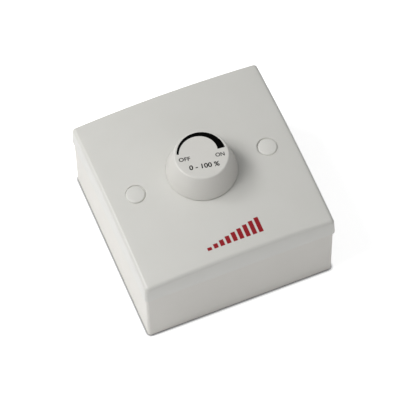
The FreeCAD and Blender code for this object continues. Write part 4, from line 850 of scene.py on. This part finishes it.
# %% Floor
def white_and_painted_contact_shade(tree, diffuse):
    """Whiten the floor for camera and mirror rays, and paint a dark shade where it is crowded."""
    rays = add_node(tree, "ShaderNodeLightPath")
    seen = add_node(tree, "ShaderNodeMath", {
        0: rays.outputs["Is Camera Ray"], 1: rays.outputs["Is Glossy Ray"]},
        operation="MAXIMUM").outputs["Value"]
    seen = add_node(tree, "ShaderNodeMath", {
        0: seen, 1: rays.outputs["Is Transmission Ray"]}, operation="MAXIMUM").outputs["Value"]
    free = add_node(tree, "ShaderNodeAmbientOcclusion", {
        "Distance": PAINTED_SHADE_REACH}).outputs["AO"]
    free = add_node(tree, "ShaderNodeMath", {
        0: free, 1: PAINTED_SHADE_DEPTH}, operation="POWER").outputs["Value"]
    amount = add_node(tree, "ShaderNodeMath", {
        0: seen, 1: FLOOR_GLOW}, operation="MULTIPLY").outputs["Value"]
    glow = add_node(tree, "ShaderNodeEmission", {
        "Color": linear("#FFFFFF"), "Strength": amount}).outputs["Emission"]
    lit = add_node(tree, "ShaderNodeAddShader", {0: diffuse, 1: glow}).outputs["Shader"]
    # Beside the object the floor is painted this dark colour in place of its white: a painted
    # contact shadow.
    dark = add_node(tree, "ShaderNodeBsdfDiffuse", {
        "Color": linear(PAINTED_SHADE_COLOUR)}).outputs["BSDF"]
    return add_node(tree, "ShaderNodeMixShader", {0: free, 1: dark, 2: lit}).outputs["Shader"]


def make_floor():
    """Lay a wide pale floor under the object."""
    work = bmesh.new()
    bmesh.ops.create_grid(
        work, x_segments=FLOOR_SQUARES, y_segments=FLOOR_SQUARES, size=FLOOR_HALF)
    mesh = bpy.data.meshes.new("floor")
    work.to_mesh(mesh)
    work.free()
    floor = add_object("floor", mesh)
    floor.location.z = -FLOOR_DROP
    material = bpy.data.materials.new("floor_paper")
    material.use_nodes = True
    tree = material.node_tree
    tree.nodes.remove(tree.nodes["Principled BSDF"])
    paper = add_node(tree, "ShaderNodeBsdfDiffuse", {
        "Color": linear(FLOOR_COLOUR)}).outputs["BSDF"]
    output = tree.nodes["Material Output"]
    tree.links.new(white_and_painted_contact_shade(tree, paper), output.inputs["Surface"])
    dress(floor, material)


make_floor()
print("floor reaches", FLOOR_HALF, "m each way")


# %% World and lamps
def make_world():
    """Light the scene softly, less from left and right, and show plain white behind it."""
    world = bpy.data.worlds.new("studio")
    world.use_nodes = True
    tree = world.node_tree
    tree.nodes.clear()
    rays = add_node(tree, "ShaderNodeLightPath")
    where = add_node(tree, "ShaderNodeTexCoord").outputs["Generated"]
    aside = add_node(tree, "ShaderNodeSeparateXYZ", {"Vector": where}).outputs["X"]
    aside = add_node(tree, "ShaderNodeMath", {0: aside}, operation="ABSOLUTE").outputs["Value"]
    room = add_node(tree, "ShaderNodeMapRange", {
        "Value": aside, "To Min": WORLD_LIGHT, "To Max": DARK_SIDES}).outputs["Result"]
    amount = add_node(tree, "ShaderNodeMapRange", {
        "Value": rays.outputs["Is Camera Ray"], "To Min": room, "To Max": 1.0}).outputs["Result"]
    sky = add_node(tree, "ShaderNodeBackground", {
        "Color": linear(SKY_COLOUR), "Strength": amount}).outputs["Background"]
    output = add_node(tree, "ShaderNodeOutputWorld")
    tree.links.new(sky, output.inputs["Surface"])
    bpy.context.scene.world = world


def add_softbox(name, azimuth, elevation, distance, size, power):
    """Hang a square soft light that looks at the object from a direction in degrees."""
    turn, rise = math.radians(azimuth), math.radians(elevation)
    away = Vector((
        math.cos(turn) * math.cos(rise), math.sin(turn) * math.cos(rise), math.sin(rise)))
    data = bpy.data.lights.new(name, "AREA")
    data.size = size
    data.energy = power
    lamp = bpy.data.objects.new(name, data)
    facing = away.to_track_quat("Z", "Y").to_matrix().to_4x4()
    lamp.matrix_world = Matrix.Translation(away * distance) @ facing
    bpy.context.scene.collection.objects.link(lamp)


make_world()
for lamp in LAMPS:
    add_softbox(*lamp)
bpy.context.scene.view_settings.view_transform = "Standard"
print("lights", [light.name for light in bpy.data.lights])
